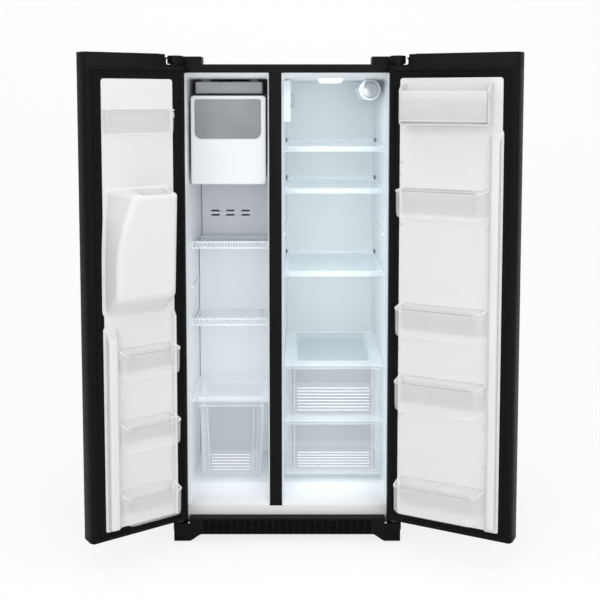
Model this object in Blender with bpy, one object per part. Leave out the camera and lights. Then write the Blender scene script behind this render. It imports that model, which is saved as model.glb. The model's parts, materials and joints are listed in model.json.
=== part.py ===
"""Side by side refrigerator with both doors open: metres, +Z up, floor at z = 0, the front faces -Y."""

import bmesh
import bpy
from math import cos, radians, sin
from mathutils import Matrix, Vector

# Case without doors.
CASE_WIDTH = 0.838
CASE_HEIGHT = 1.738
CASE_DEPTH = 0.727
SKIN = 0.010          # wall of the outer shell
FLANGE = 0.0037       # front face of the shell
WALL = 0.003          # liners, drawers and bins
GAP = 0.0003          # between pieces that touch
BACK_PANEL = 0.012

# Doors: u runs from the hinge axis to the free edge, v from the hinge axis into the compartment.
PIVOT_IN = 0.0287     # hinge axis inside the side of the case
PIVOT_AHEAD = 0.0454  # hinge axis ahead of the front of the case
DOOR_THICKNESS = 0.067
DOOR_GAP = 0.008      # closed door to the front of the case
DOOR_BOTTOM = CASE_HEIGHT * 0.105 / 1.738
DOOR_TOP = CASE_HEIGHT + 0.032
DOOR_TAPER = 0.015    # how much narrower the inner face is, on each side
FREEZER_DOOR_WIDTH = CASE_WIDTH * 0.3734 / 0.838
FRIDGE_DOOR_WIDTH = CASE_WIDTH * 0.4596 / 0.838
FREEZER_DOOR_OPEN = 148.04
FRIDGE_DOOR_OPEN = 156.33
HANDLE_PROUD = 0.045
BIN_REACH = 0.135     # front of the door bins, from the hinge axis

PIN = 0.006
LEG_X = 0.375
LEG_SHAFT = 0.006
ROLLER = 0.022


def w(x):
    """A distance across, given for the 838 mm case, scaled with the case."""
    return x * CASE_WIDTH / 0.838


def h(z):
    """A height, given for the 1738 mm case, scaled with the case."""
    return z * CASE_HEIGHT / 1.738


def d(y):
    """A depth, given for the 727 mm case, scaled with the case."""
    return y * CASE_DEPTH / 0.727


def mesh_object(bm):
    bmesh.ops.recalc_face_normals(bm, faces=bm.faces)
    mesh = bpy.data.meshes.new("piece")
    bm.to_mesh(mesh)
    bm.free()
    obj = bpy.data.objects.new("piece", mesh)
    bpy.context.scene.collection.objects.link(obj)
    return obj


def block(x, y, z, edge=0.0, steps=2):
    """A box between the given limits, with all its edges rounded by edge."""
    bm = bmesh.new()
    bmesh.ops.create_cube(bm, size=1.0)
    x, y, z = sorted(x), sorted(y), sorted(z)
    for vert in bm.verts:
        vert.co = [limits[value > 0] for limits, value in zip((x, y, z), vert.co)]
    if edge:
        bmesh.ops.bevel(
            bm, geom=bm.edges[:], offset=edge, segments=steps, profile=0.5, affect="EDGES"
        )
    return mesh_object(bm)


def loft(rings):
    """A solid skinned over rings with equal numbers of points, closed at both ends."""
    bm = bmesh.new()
    loops = [[bm.verts.new(point) for point in ring] for ring in rings]
    count = len(loops[0])
    for near, far in zip(loops, loops[1:]):
        for i in range(count):
            j = (i + 1) % count
            bm.faces.new((near[i], near[j], far[j], far[i]))
    bm.faces.new(loops[0][::-1])
    bm.faces.new(loops[-1])
    return mesh_object(bm)


def prism(outline, place, span):
    """A flat outline of (a, b) points, pushed from span[0] to span[1]; place(a, b, c) gives x, y, z."""
    return loft([[place(a, b, c) for a, b in outline] for c in span])


def along_x(a, b, c):
    return (c, a, b)


def along_y(a, b, c):
    return (a, c, b)


def along_z(a, b, c):
    return (a, b, c)


def rounded(a, b, radius, steps=3):
    """Outline of a rectangle with rounded corners. The radius is one number, or one for each corner."""
    a, b = sorted(a), sorted(b)
    radii = radius if isinstance(radius, tuple) else (radius,) * 4
    corners = ((1, 1, 0), (0, 1, 90), (0, 0, 180), (1, 0, 270))
    points = []
    for (i, j, start), r in zip(corners, radii):
        ca = a[i] + (-r if i else r)
        cb = b[j] + (-r if j else r)
        for step in range(steps + 1):
            turn = radians(start + 90 * step / steps)
            points.append((ca + r * cos(turn), cb + r * sin(turn)))
    return points


def circle(a, b, radius, sides=24):
    turns = [radians(360 * i / sides) for i in range(sides)]
    return [(a + radius * cos(turn), b + radius * sin(turn)) for turn in turns]


def disc(centre, place, radius, span, sides=24):
    """A round bar; centre holds its two coordinates across the bar, in the order place takes them."""
    return prism(circle(*centre, radius, sides), place, span)


def cup(outer, inner):
    """A thin-walled vessel from its outer rings and its inner rings, both listed from the closed end."""
    return loft([*outer, *inner[::-1]])


def tub(x, y, z, narrow, radius, wall=WALL):
    """An open drawer: x and y at the rim, and how much each side draws in towards the floor."""
    rings = []
    for inset, floor in ((0, z[0]), (wall, z[0] + wall)):
        ring = []
        for level, draw in ((floor, narrow), (z[1], 0)):
            limits = [
                (side[0] + draw + inset, side[1] - draw - inset) for side in (x, y)
            ]
            ring.append([(a, b, level) for a, b in rounded(*limits, radius - inset)])
        rings.append(ring)
    return cup(*rings)


def combine(base, operation, tools):
    """The base joined with the tools, or cut by them; the tools are used up."""
    for tool in tools:
        step = base.modifiers.new("step", "BOOLEAN")
        step.operation = operation
        step.solver = "EXACT"
        step.object = tool
    bpy.context.view_layer.update()
    graph = bpy.context.evaluated_depsgraph_get()
    mesh = bpy.data.meshes.new_from_object(base.evaluated_get(graph))
    base.modifiers.clear()
    base.data = mesh
    for tool in tools:
        bpy.data.objects.remove(tool)
    return base


def join(base, *tools):
    return combine(base, "UNION", tools)


def cut(base, *tools):
    return combine(base, "DIFFERENCE", tools)


def material(name, colour, roughness, metallic=0.0):
    made = bpy.data.materials.new(name)
    made.use_nodes = True
    shader = made.node_tree.nodes["Principled BSDF"]
    shader.inputs["Base Color"].default_value = (*colour, 1.0)
    shader.inputs["Roughness"].default_value = roughness
    shader.inputs["Metallic"].default_value = metallic
    made.diffuse_color = (*colour, 1.0)
    return made


def finish(obj, name, slot, parent=None, origin=(0.0, 0.0, 0.0)):
    """Names a piece, gives it its material and puts its origin at a point of its parent's space."""
    obj.name = name
    mesh = obj.data
    mesh.name = name
    mesh.materials.clear()
    mesh.materials.append(SLOTS[slot])
    mesh.transform(Matrix.Translation(-Vector(origin)))
    for face in mesh.polygons:
        face.use_smooth = True
    mesh.set_sharp_from_angle(angle=radians(32))
    obj.location = origin
    obj.parent = parent
    return obj


def empty(name, location, turn=0.0):
    obj = bpy.data.objects.new(name, None)
    obj.location = location
    obj.rotation_euler = (0.0, 0.0, radians(turn))
    bpy.context.scene.collection.objects.link(obj)
    return obj


for old in list(bpy.data.objects):
    bpy.data.objects.remove(old)

SLOTS = {
    name: material(name, *look)
    for name, look in {
        "black_enamel": ((0.012, 0.012, 0.013), 0.38),
        "black_plastic": ((0.014, 0.014, 0.015), 0.5),
        "black_rubber": ((0.015, 0.015, 0.016), 0.7),
        "cool_white_liner": ((0.85, 0.9, 0.93), 0.35),
        "warm_white_liner": ((0.88, 0.88, 0.87), 0.35),
        "clear_plastic": ((0.86, 0.9, 0.92), 0.12),
        "shelf_glass": ((0.8, 0.88, 0.9), 0.05),
        "shelf_white": ((0.86, 0.89, 0.9), 0.4),
        "smoky_plastic": ((0.16, 0.18, 0.19), 0.15),
        "grey_plastic": ((0.35, 0.37, 0.38), 0.45),
        "white_wire": ((0.88, 0.9, 0.92), 0.4),
        "galvanised_steel": ((0.5, 0.51, 0.52), 0.4, 0.9),
        "hinge_steel": ((0.05, 0.05, 0.055), 0.4, 0.6),
    }.items()
}

# ---------------------------------------------------------------- case
half = CASE_WIDTH / 2
cabinet = empty("cabinet", (0.0, 0.0, 0.0))
shell_back = CASE_DEPTH - BACK_PANEL - GAP
case_bottom = h(0.030)
open_left, open_right = w(-0.367), w(0.369)
mullion_left, mullion_right = w(-0.064), w(-0.019)
open_bottom, open_top = h(0.122), h(1.708)
inside = half - SKIN - GAP

shell = block((-half, half), (0, shell_back), (case_bottom, CASE_HEIGHT), 0.004)
cut(
    shell,
    block(
        (-half + SKIN, half - SKIN), (FLANGE, shell_back + 0.1), (-0.1, CASE_HEIGHT - SKIN)
    ),
    block((open_left, open_right), (-0.1, 0.1), (-0.1, open_top)),
)
finish(shell, "cabinet_shell", "black_enamel", cabinet)

back = block((-half, half), (shell_back + GAP, CASE_DEPTH), (case_bottom, CASE_HEIGHT), 0.003)
cut(
    back,
    block(
        (w(-0.34), w(0.34)), (CASE_DEPTH - 0.004, CASE_DEPTH + 0.02), (h(0.36), h(1.66)), 0.002
    ),
    *(
        block((w(x), w(x + 0.05)), (shell_back - 0.1, CASE_DEPTH + 0.1), (h(z), h(z + 0.008)))
        for x in (-0.3, -0.22, -0.14, 0.09, 0.17, 0.25)
        for z in (0.12, 0.15, 0.18)
    ),
)
finish(back, "cabinet_back", "galvanised_steel", cabinet)

pan_front, pan_back = FLANGE + GAP, shell_back - GAP
pan_floor, pan_top = 0.056, h(0.086)
roller_y = pan_back - 0.040
pan = block((-inside, inside), (pan_front, pan_back), (pan_floor, pan_top), 0.002)
cheeks = [
    block(
        (side * w(0.358) + x, side * w(0.358) + x + 0.004),
        (roller_y - 0.016, roller_y + 0.016),
        (0.013, pan_floor + 0.01),
    )
    for side in (-1, 1)
    for x in (-0.018, 0.014)
]
join(pan, *cheeks)
leg_y = d(0.030)
cut(
    pan,
    *(disc((side * w(LEG_X), leg_y), along_z, LEG_SHAFT + GAP, (0, 0.2)) for side in (-1, 1)),
    disc((roller_y, ROLLER), along_x, 0.0043, (-1, 1), 16),
)
finish(pan, "base_pan", "galvanised_steel", cabinet)

for side, word in ((-1, "left"), (1, "right")):
    x = side * w(LEG_X)
    leg = disc((x, leg_y), along_z, LEG_SHAFT, (0.004, pan_top + 0.012))
    join(
        leg,
        disc((x, leg_y), along_z, 0.017, (0, 0.010)),
        disc((x, leg_y), along_z, 0.011, (0.008, 0.024), 6),
    )
    finish(leg, f"{word}_leveling_leg", "black_plastic", cabinet, (x, leg_y, 0))
    x = side * w(0.358)
    roller = disc((roller_y, ROLLER), along_x, ROLLER, (x - 0.0135, x + 0.0135), 32)
    join(roller, disc((roller_y, ROLLER), along_x, 0.004, (x - 0.019, x + 0.019), 16))
    finish(roller, f"{word}_rear_roller", "black_plastic", cabinet, (x, roller_y, ROLLER))

# Liners: rings of the inner surface from the back to the front, as (y, left, right, floor, ceiling).
liner_front = FLANGE + GAP
hump_front, hump_back, liner_back = d(0.430), d(0.470), d(0.620)
floor_flat, floor_hump = h(0.165), h(0.300)
ceiling = h(1.688)
freezer_left, freezer_right = w(-0.361), w(-0.070)
fridge_left, fridge_right = w(-0.014), w(0.362)


def liner(left, right, rim_left, rim_right, taper, ribs, name):
    stations = (
        (liner_back, left + taper, right - taper, floor_hump, ceiling),
        (hump_back, left + taper, right - taper, floor_hump, ceiling),
        (hump_front, left, right, floor_flat, ceiling),
        (d(0.100), left, right, floor_flat, ceiling),
        (d(0.030), left, right, h(0.135), ceiling + h(0.002)),
        (liner_front, rim_left, rim_right, open_bottom, open_top),
    )
    rings = []
    for grow in (0.0, WALL):
        ring = []
        for index, (y, x0, x1, z0, z1) in enumerate(stations):
            behind = grow if index == 0 else 0.0
            corner = 0.010 if y == liner_front else 0.003
            outline = rounded((x0 - grow, x1 + grow), (z0 - grow, z1 + grow), corner + grow)
            ring.append([(a, y + behind, b) for a, b in outline])
        rings.append(ring)
    made = cup(rings[1], rings[0])
    bars = []
    for y0, y1, top in ribs:
        for wall, reach in ((left, 1), (right, -1)):
            bars.append(
                block(
                    (wall - reach * 0.0015, wall + reach * 0.006), (y0, y1), (top - 0.010, top), 0.0014, 1
                )
            )
    return finish(join(made, *bars), name, "cool_white_liner", cabinet)


shelf_thick = 0.018
fridge_levels = [h(z) for z in (1.439, 1.283, 0.972)]
spare_level = h(1.130)
fridge_ribs = [(d(0.14), d(0.50), z - shelf_thick - GAP) for z in (*fridge_levels, spare_level)]
freezer_levels = [h(1.062), h(0.770)]
bin_bottom = h(1.303)
basket_top = h(0.488)
freezer_ribs = [(d(0.14), d(0.33), z - 0.006 - GAP) for z in (*freezer_levels, h(0.915))]
freezer_ribs += [(d(0.10), d(0.42), bin_bottom - GAP), (d(0.14), d(0.34), basket_top - 0.018 - GAP)]
liner(freezer_left, freezer_right, open_left, mullion_left, 0.0, freezer_ribs, "freezer_liner")
liner(fridge_left, fridge_right, mullion_right, open_right, 0.001, fridge_ribs, "fridge_liner")

web_left, web_right = mullion_left + WALL + 0.0007, mullion_right - WALL - 0.0007
mullion = prism(
    [
        (mullion_left, 0),
        (mullion_right, 0),
        (mullion_right, FLANGE),
        (web_right, FLANGE),
        (web_right, 0.025),
        (web_left, 0.025),
        (web_left, FLANGE),
        (mullion_left, FLANGE),
    ],
    along_z,
    (open_bottom + GAP, open_top - GAP),
)
finish(mullion, "mullion_cover", "black_plastic", cabinet)

sill_bottom = h(0.0885)
sill = join(
    block((open_left + GAP, open_right - GAP), (0, FLANGE), (sill_bottom, open_bottom - GAP), 0.0008, 1),
    block((open_left + GAP, open_right - GAP), (0.001, 0.030), (sill_bottom, sill_bottom + 0.003)),
)
finish(sill, "sill_trim", "grey_plastic", cabinet)

# Toe grille: a front plate with two foot skirts, a ledge back to the case and a cheek at each end.
grille_front, plate = -0.030, 0.005
foot_out, foot_in, foot_root = w(0.413), w(0.356), w(0.313)
grille_top = sill_bottom - 0.0005
outline = []
for side in (1, -1):
    edge = [
        (side * foot_root, h(0.028)),
        (side * foot_in, 0.003),
        (side * foot_out, 0.003),
        (side * foot_out, h(0.068)),
        (side * foot_in, h(0.068)),
        (side * foot_in, grille_top),
    ]
    outline += edge if side == 1 else edge[::-1]
grille = prism(outline, along_y, (grille_front, grille_front + plate))
join(
    grille,
    block((-foot_in, foot_in), (grille_front + plate - 0.001, -GAP), (grille_top - 0.004, grille_top)),
    *(
        block(
            (side * (foot_out - 0.005), side * foot_out),
            (grille_front + plate - 0.001, -GAP),
            (0.003, h(0.068)),
        )
        for side in (-1, 1)
    ),
)
rows, columns = 5, 12
slot_step_x, slot_step_z = (w(0.310) * 2 + 0.008) / columns, (h(0.078) - h(0.030)) / rows
slots = []
for row in range(rows):
    for column in range(columns):
        x = w(-0.310) + column * slot_step_x
        z = h(0.032) + row * slot_step_z
        slots.append(
            block(
                (x, x + slot_step_x - 0.008),
                (-0.1, grille_front + plate + 0.004),
                (z, z + slot_step_z - 0.004),
            )
        )
cut(grille, *slots)
finish(grille, "toe_grille", "black_plastic", cabinet)

# Hinges. The upper ones lie under covers on the roof; the lower ones stand ahead of the case.
pivot_y = -PIVOT_AHEAD
corner_top = DOOR_TOP - 0.037
cover_floor, cover_top = CASE_HEIGHT + GAP, DOOR_TOP - 0.004
for side, word in ((-1, "left"), (1, "right")):
    px = side * (half - PIVOT_IN)
    hinge = join(
        block(
            (side * w(0.318), side * w(0.405)),
            (d(0.008), d(0.060)),
            (cover_floor, cover_floor + 0.005),
            0.001,
            1,
        ),
        block((px - 0.015, px + 0.015), (pivot_y, d(0.012)), (cover_floor, cover_floor + 0.005), 0.001, 1),
        disc((px, pivot_y), along_z, 0.015, (cover_floor, cover_floor + 0.005)),
        disc((px, pivot_y), along_z, PIN, (corner_top - 0.021, cover_floor + 0.004)),
    )
    finish(hinge, f"{word}_top_hinge", "hinge_steel", cabinet, (px, pivot_y, 0))

    def cover_solid(grow, floor, top):
        return join(
            block(
                (
                    side * (w(0.303) - grow),
                    side * (w(0.413) + grow),
                ), (0.002 - grow, d(0.070) + grow), (floor, top), 0.003
            ),
            block((px - 0.0275 - grow, px + 0.0275 + grow), (pivot_y, 0.012), (floor, top), 0.003),
            disc((px, pivot_y), along_z, 0.0275 + grow, (floor, top - 0.0015), 36),
        )

    cover = cover_solid(0.0, cover_floor, cover_top)
    cut(cover, cover_solid(-0.0025, cover_floor - 0.02, cover_top - 0.0025))
    finish(cover, f"{word}_hinge_cover", "black_plastic", cabinet)

    bracket_z = sill_bottom + 0.001
    low = join(
        block((px - 0.018, px + 0.018), (pivot_y, -GAP), (bracket_z, bracket_z + 0.006), 0.001, 1),
        block((px - 0.018, px + 0.018), (-0.0045, -GAP), (h(0.072), bracket_z + 0.004), 0.001, 1),
        disc((px, pivot_y), along_z, 0.018, (bracket_z, bracket_z + 0.006)),
        disc((px, pivot_y), along_z, 0.011, (bracket_z + 0.002, DOOR_BOTTOM - GAP)),
        disc((px, pivot_y), along_z, PIN, (bracket_z + 0.002, DOOR_BOTTOM + 0.020)),
    )
    finish(low, f"{word}_bottom_hinge", "hinge_steel", cabinet, (px, pivot_y, 0))

# ---------------------------------------------------------------- inside the freezer
step_low, step_high = h(1.040), h(1.060)
evap_low, evap_high, evap_wall = d(0.375), d(0.478), 0.005
evap = prism(
    [
        (evap_low, h(0.1660)),
        (evap_low, step_low),
        (evap_high, step_high),
        (evap_high, ceiling - 0.003),
        (evap_high + evap_wall, ceiling - 0.003),
        (evap_high + evap_wall, step_high - evap_wall),
        (evap_low + evap_wall, step_low - evap_wall),
        (evap_low + evap_wall, h(0.1660)),
    ],
    along_x,
    (freezer_left + 0.002, freezer_right - 0.002),
)
vents = [
    block((w(x), w(x + 0.034)), (evap_high - 0.1, evap_high + 0.1), (h(z), h(z + 0.007)))
    for x in (-0.321, -0.260, -0.196)
    for z in (1.132, 1.150)
]
cut(evap, *vents)
finish(evap, "evaporator_cover", "cool_white_liner", cabinet)

maker = join(
    block((w(-0.338), w(-0.092)), (d(0.105), d(0.420)), (h(1.634), ceiling - 0.010), 0.004),
    *(
        block((w(x), w(x + 0.03)), (d(0.15), d(0.37)), (ceiling - 0.02, ceiling - GAP))
        for x in (-0.320, -0.140)
    ),
)
finish(maker, "ice_maker", "grey_plastic", cabinet)

shelf_left, shelf_right = freezer_left + 0.0008, freezer_right - 0.0008


def wire_shelf(level, depth, name):
    """A slatted shelf with a raised rail along its front edge."""
    front = d(0.115)
    base = join(
        block((shelf_left, shelf_right), (front, depth), (level - 0.006, level), 0.0015, 1),
        block((shelf_left, shelf_right), (front, front + 0.006), (level - 0.006, level + 0.022), 0.0015, 1),
    )
    count, bar = 15, 0.004
    pitch = (shelf_right - shelf_left - bar) / count
    middle = (front + depth) / 2
    openings = []
    for i in range(count):
        x = shelf_left + bar + i * pitch
        sides = (x, x + pitch - bar)
        openings.append(block(sides, (front + 0.012, middle - 0.003), (level - 0.1, level + 0.1)))
        openings.append(block(sides, (middle + 0.003, depth - 0.006), (level - 0.1, level + 0.1)))
        openings.append(block(sides, (front - 0.1, front + 0.1), (level + 0.004, level + 0.017)))
    return finish(cut(base, *openings), name, "white_wire", cabinet)


wire_shelf(freezer_levels[0], d(0.3745), "freezer_shelf_1")
wire_shelf(freezer_levels[1], d(0.355), "freezer_shelf_2")

lid = block((shelf_left, shelf_right), (d(0.115), d(0.370)), (basket_top - 0.018, basket_top), 0.002)
cut(
    lid,
    block(
        (shelf_left + 0.020, shelf_right - 0.020),
        (d(0.128), d(0.355)),
        (basket_top - 0.014, basket_top + 0.02),
    ),
    block(
        (shelf_left + 0.026, shelf_right - 0.026),
        (d(0.118), d(0.362)),
        (basket_top - 0.04, basket_top - 0.0165),
    ),
)
finish(lid, "basket_cover", "clear_plastic", cabinet)

basket_rim = h(0.460)
basket = tub((w(-0.334), w(-0.098)), (d(0.120), d(0.355)), (h(0.185), basket_rim), 0.008, 0.014)
join(
    basket,
    *(
        block(
            (w(-0.334) - 0.007, w(-0.098) + 0.007),
            (y, y + 0.012),
            (basket_rim - 0.008, basket_rim),
            0.001,
            1,
        )
        for y in (d(0.120) - 0.008, d(0.355) - 0.002)
    ),
    *(
        block(
            (side + reach * 0.007, side - reach * 0.002),
            (d(0.120), d(0.355)),
            (basket_rim - 0.008, basket_rim),
            0.001,
            1,
        )
        for side, reach in ((w(-0.334), -1), (w(-0.098), 1))
    ),
    *(
        block((w(x), w(x + 0.003)), (d(0.117), d(0.132)), (h(0.195), h(0.325)))
        for x in (-0.315, -0.292, -0.269, -0.246, -0.223, -0.200, -0.177, -0.154, -0.131)
    ),
    block((w(-0.332), w(-0.100)), (d(0.117), d(0.127)), (h(0.330), h(0.337))),
)
finish(basket, "freezer_basket", "clear_plastic", cabinet)

# Ice bin: a thick front with a window recess, and a bucket behind it.
ice_left, ice_right = w(-0.351), w(-0.078)
ice_front, ice_back = d(0.060), d(0.400)
ice_top = h(1.627)
face = 0.016
window = [
    (w(-0.335), h(1.612)),
    (w(-0.097), h(1.612)),
    (w(-0.097), h(1.486)),
    (w(-0.110), h(1.472)),
    (w(-0.322), h(1.472)),
    (w(-0.335), h(1.486)),
]
middle_x = (w(-0.335) + w(-0.097)) / 2
middle_z = (h(1.612) + h(1.472)) / 2


def shrunk(outline, by):
    return [
        (a + (by if a < middle_x else -by), b + (by if b < middle_z else -by)) for a, b in outline
    ]


ice = join(
    block((ice_left, ice_right), (ice_front, ice_front + face), (bin_bottom, ice_top), 0.004),
    tub(
        (ice_left + 0.006, ice_right - 0.006),
        (ice_front + face - 0.004, ice_back),
        (bin_bottom + 0.002, ice_top - 0.012),
        0.0,
        0.012,
    ),
)
cut(
    ice,
    prism(shrunk(window, 0.006), along_y, (ice_front - 0.05, ice_front + face + 0.002)),
    prism(window, along_y, (ice_front - 0.05, ice_front + 0.006)),
)
finish(ice, "ice_bin", "cool_white_liner", cabinet)
pane = prism(shrunk(window, 0.0006), along_y, (ice_front + 0.0015, ice_front + 0.0057))
finish(pane, "ice_bin_window", "smoky_plastic", cabinet)

# ---------------------------------------------------------------- inside the fridge
rack_left, rack_right = fridge_left + 0.0015, fridge_right - 0.0015
shelf_front, shelf_back = d(0.100), d(0.520)
for number, level in enumerate(fridge_levels, 1):
    ledge = level - 0.0065
    frame = join(
        block((rack_left, rack_right), (shelf_front, shelf_back), (level - shelf_thick, level), 0.003),
        block(
            (rack_left, rack_right),
            (shelf_back - 0.010, shelf_back),
            (level - 0.014, level + 0.010),
            0.003,
        ),
    )
    glass_x = (rack_left + 0.012, rack_right - 0.012)
    glass_y = (shelf_front + 0.020, shelf_back - 0.016)
    cut(
        frame,
        block(glass_x, glass_y, (ledge, level + 0.1)),
        block(
            (glass_x[0] + 0.008, glass_x[1] - 0.008),
            (glass_y[0] + 0.008, glass_y[1] - 0.008),
            (level - 0.1, level + 0.1),
        ),
    )
    finish(frame, f"fridge_shelf_{number}_frame", "shelf_white", cabinet)
    glass = block(
        (glass_x[0] + GAP, glass_x[1] - GAP),
        (glass_y[0] + GAP, glass_y[1] - GAP),
        (ledge + GAP, ledge + GAP + 0.004),
    )
    finish(glass, f"fridge_shelf_{number}_glass", "shelf_glass", cabinet)

# Crisper cover: frame with side panels, a rail between the drawers and a ledge under the lower one.
cover_z, rail_z = (h(0.612), h(0.628)), (h(0.399), h(0.4175))
crisper_front, crisper_back = d(0.105), d(0.500)
lower_back = d(0.412)
drawer_left, drawer_right = fridge_left + 0.0075, fridge_right - 0.0100
frame = block((rack_left, rack_right), (shelf_front, d(0.550)), cover_z, 0.002)
join(
    frame,
    block((rack_left, drawer_left - 0.002), (d(0.118), d(0.480)), (h(0.305), cover_z[0] + 0.004)),
    block((drawer_right + 0.002, rack_right), (d(0.118), d(0.480)), (h(0.305), cover_z[0] + 0.004)),
    block((rack_left, drawer_left - 0.002), (d(0.118), d(0.420)), (floor_flat + 0.0008, h(0.310))),
    block((drawer_right + 0.002, rack_right), (d(0.118), d(0.420)), (floor_flat + 0.0008, h(0.310))),
    block((rack_left, rack_right), (shelf_front, d(0.135)), rail_z, 0.002),
    block((rack_left + 0.002, rack_right - 0.002), (d(0.120), d(0.150)), (h(0.186), h(0.2025)), 0.002),
    *(
        block(span, (d(0.125), d(0.400)), (low, high))
        for span in ((rack_left, drawer_left + 0.008), (drawer_right - 0.008, rack_right))
        for low, high in ((h(0.4105), rail_z[1]), (h(0.1955), h(0.2025)))
    ),
)
pane_x, pane_y = (w(0.031), w(0.317)), (d(0.122), d(0.520))
pane_ledge = cover_z[1] - 0.0065
cut(
    frame,
    block(pane_x, pane_y, (pane_ledge, cover_z[1] + 0.1)),
    block(
        (pane_x[0] + 0.008, pane_x[1] - 0.008),
        (pane_y[0] + 0.008, pane_y[1] - 0.008),
        (h(0.55), h(0.7)),
    ),
)
finish(frame, "crisper_cover_frame", "shelf_white", cabinet)
glass = block(
    (pane_x[0] + GAP, pane_x[1] - GAP),
    (pane_y[0] + GAP, pane_y[1] - GAP),
    (pane_ledge + GAP, pane_ledge + GAP + 0.004),
)
finish(glass, "crisper_cover_glass", "shelf_glass", cabinet)


def crisper(z, depth, name):
    """A drawer with a thicker front, a finger lip along its top and upright ribs on the lower half."""
    made = tub((drawer_left, drawer_right), (crisper_front + 0.002, depth), z, 0.005, 0.012)
    lip = block(
        (drawer_left, drawer_right), (crisper_front, crisper_front + 0.016), (z[1] - 0.014, z[1]), 0.003
    )
    count = 16
    pitch = (drawer_right - drawer_left - 0.04) / count
    ribs = [
        block(
            (drawer_left + 0.020 + i * pitch, drawer_left + 0.023 + i * pitch),
            (crisper_front, crisper_front + 0.006),
            (z[0] + 0.012, z[0] + 0.095),
        )
        for i in range(count + 1)
    ]
    band = block(
        (drawer_left + 0.012, drawer_right - 0.012),
        (crisper_front, crisper_front + 0.006),
        (z[0] + 0.093, z[0] + 0.100),
    )
    return finish(join(made, lip, *ribs, band), name, "clear_plastic", cabinet)


crisper((rail_z[1] + GAP, h(0.6075)), crisper_back, "upper_crisper")
crisper((h(0.2025) + GAP, h(0.394)), lower_back, "lower_crisper")

filter_x, filter_z = w(0.308), ceiling - 0.0395
filter_front, filter_back = d(0.140), d(0.500)
housing = join(
    disc((filter_x, filter_z), along_y, 0.038, (filter_front, filter_back), 32),
    block(
        (filter_x - 0.020, filter_x + 0.020),
        (filter_front + 0.02, filter_back - 0.02),
        (filter_z, ceiling - GAP),
    ),
)
cut(housing, disc((filter_x, filter_z), along_y, 0.0315, (filter_front - 0.1, filter_back - 0.012), 32))
finish(housing, "filter_housing", "shelf_white", cabinet)
cartridge = join(
    disc((filter_x, filter_z), along_y, 0.0305, (filter_front - 0.008, filter_back - 0.030), 32),
    disc((filter_x, filter_z), along_y, 0.027, (filter_front - 0.018, filter_front), 32),
    block(
        (
            filter_x - 0.004,
            filter_x + 0.004,
        ), (filter_front - 0.024, filter_front), (filter_z - 0.022, filter_z + 0.022), 0.001, 1
    ),
)
finish(cartridge, "filter_cartridge", "grey_plastic", cabinet, (filter_x, filter_front, filter_z))

damper_right, damper_y, damper_z = w(0.011), (d(0.150), d(0.300)), (h(1.530), h(1.684))
knob_y, knob_z = d(0.225), h(1.610)
damper = prism(
    [
        (fridge_left + 0.0004, damper_y[0]),
        (damper_right - 0.005, damper_y[0]),
        (damper_right, damper_y[0] + 0.012),
        (damper_right, damper_y[1] - 0.012),
        (damper_right - 0.005, damper_y[1]),
        (fridge_left + 0.0004, damper_y[1]),
    ],
    along_z,
    damper_z,
)
cut(damper, disc((knob_y, knob_z), along_x, 0.0063, (damper_right - 0.012, damper_right + 0.1), 16))
finish(damper, "damper_housing", "shelf_white", cabinet)
knob = join(
    disc((knob_y, knob_z), along_x, 0.026, (damper_right + GAP, damper_right + 0.010), 32),
    disc((knob_y, knob_z), along_x, 0.006, (damper_right - 0.010, damper_right + 0.004), 16),
    block(
        (
            damper_right + 0.004,
            damper_right + 0.015,
        ), (knob_y - 0.0035, knob_y + 0.0035), (knob_z - 0.024, knob_z + 0.024), 0.001, 1
    ),
)
finish(knob, "temperature_knob", "grey_plastic", cabinet, (damper_right, knob_y, knob_z))

lamp = loft(
    [
        [
            (a, b, z)
            for a, b in rounded(
                (w(0.118) - grow, w(0.200) + grow),
                (d(0.085) - grow, d(0.160) + grow),
                0.012,
            )
        ]
        for z, grow in ((ceiling - 0.014, -0.006), (ceiling - 0.010, 0.0), (ceiling - GAP, 0.003))
    ]
)
finish(lamp, "fridge_light_cover", "clear_plastic", cabinet)

# ---------------------------------------------------------------- doors
v_in = PIVOT_AHEAD - DOOR_GAP          # inner face of a door, from the hinge axis
v_out = v_in - DOOR_THICKNESS          # outer face
v_liner = v_in + GAP
SHEET = 0.004


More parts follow.
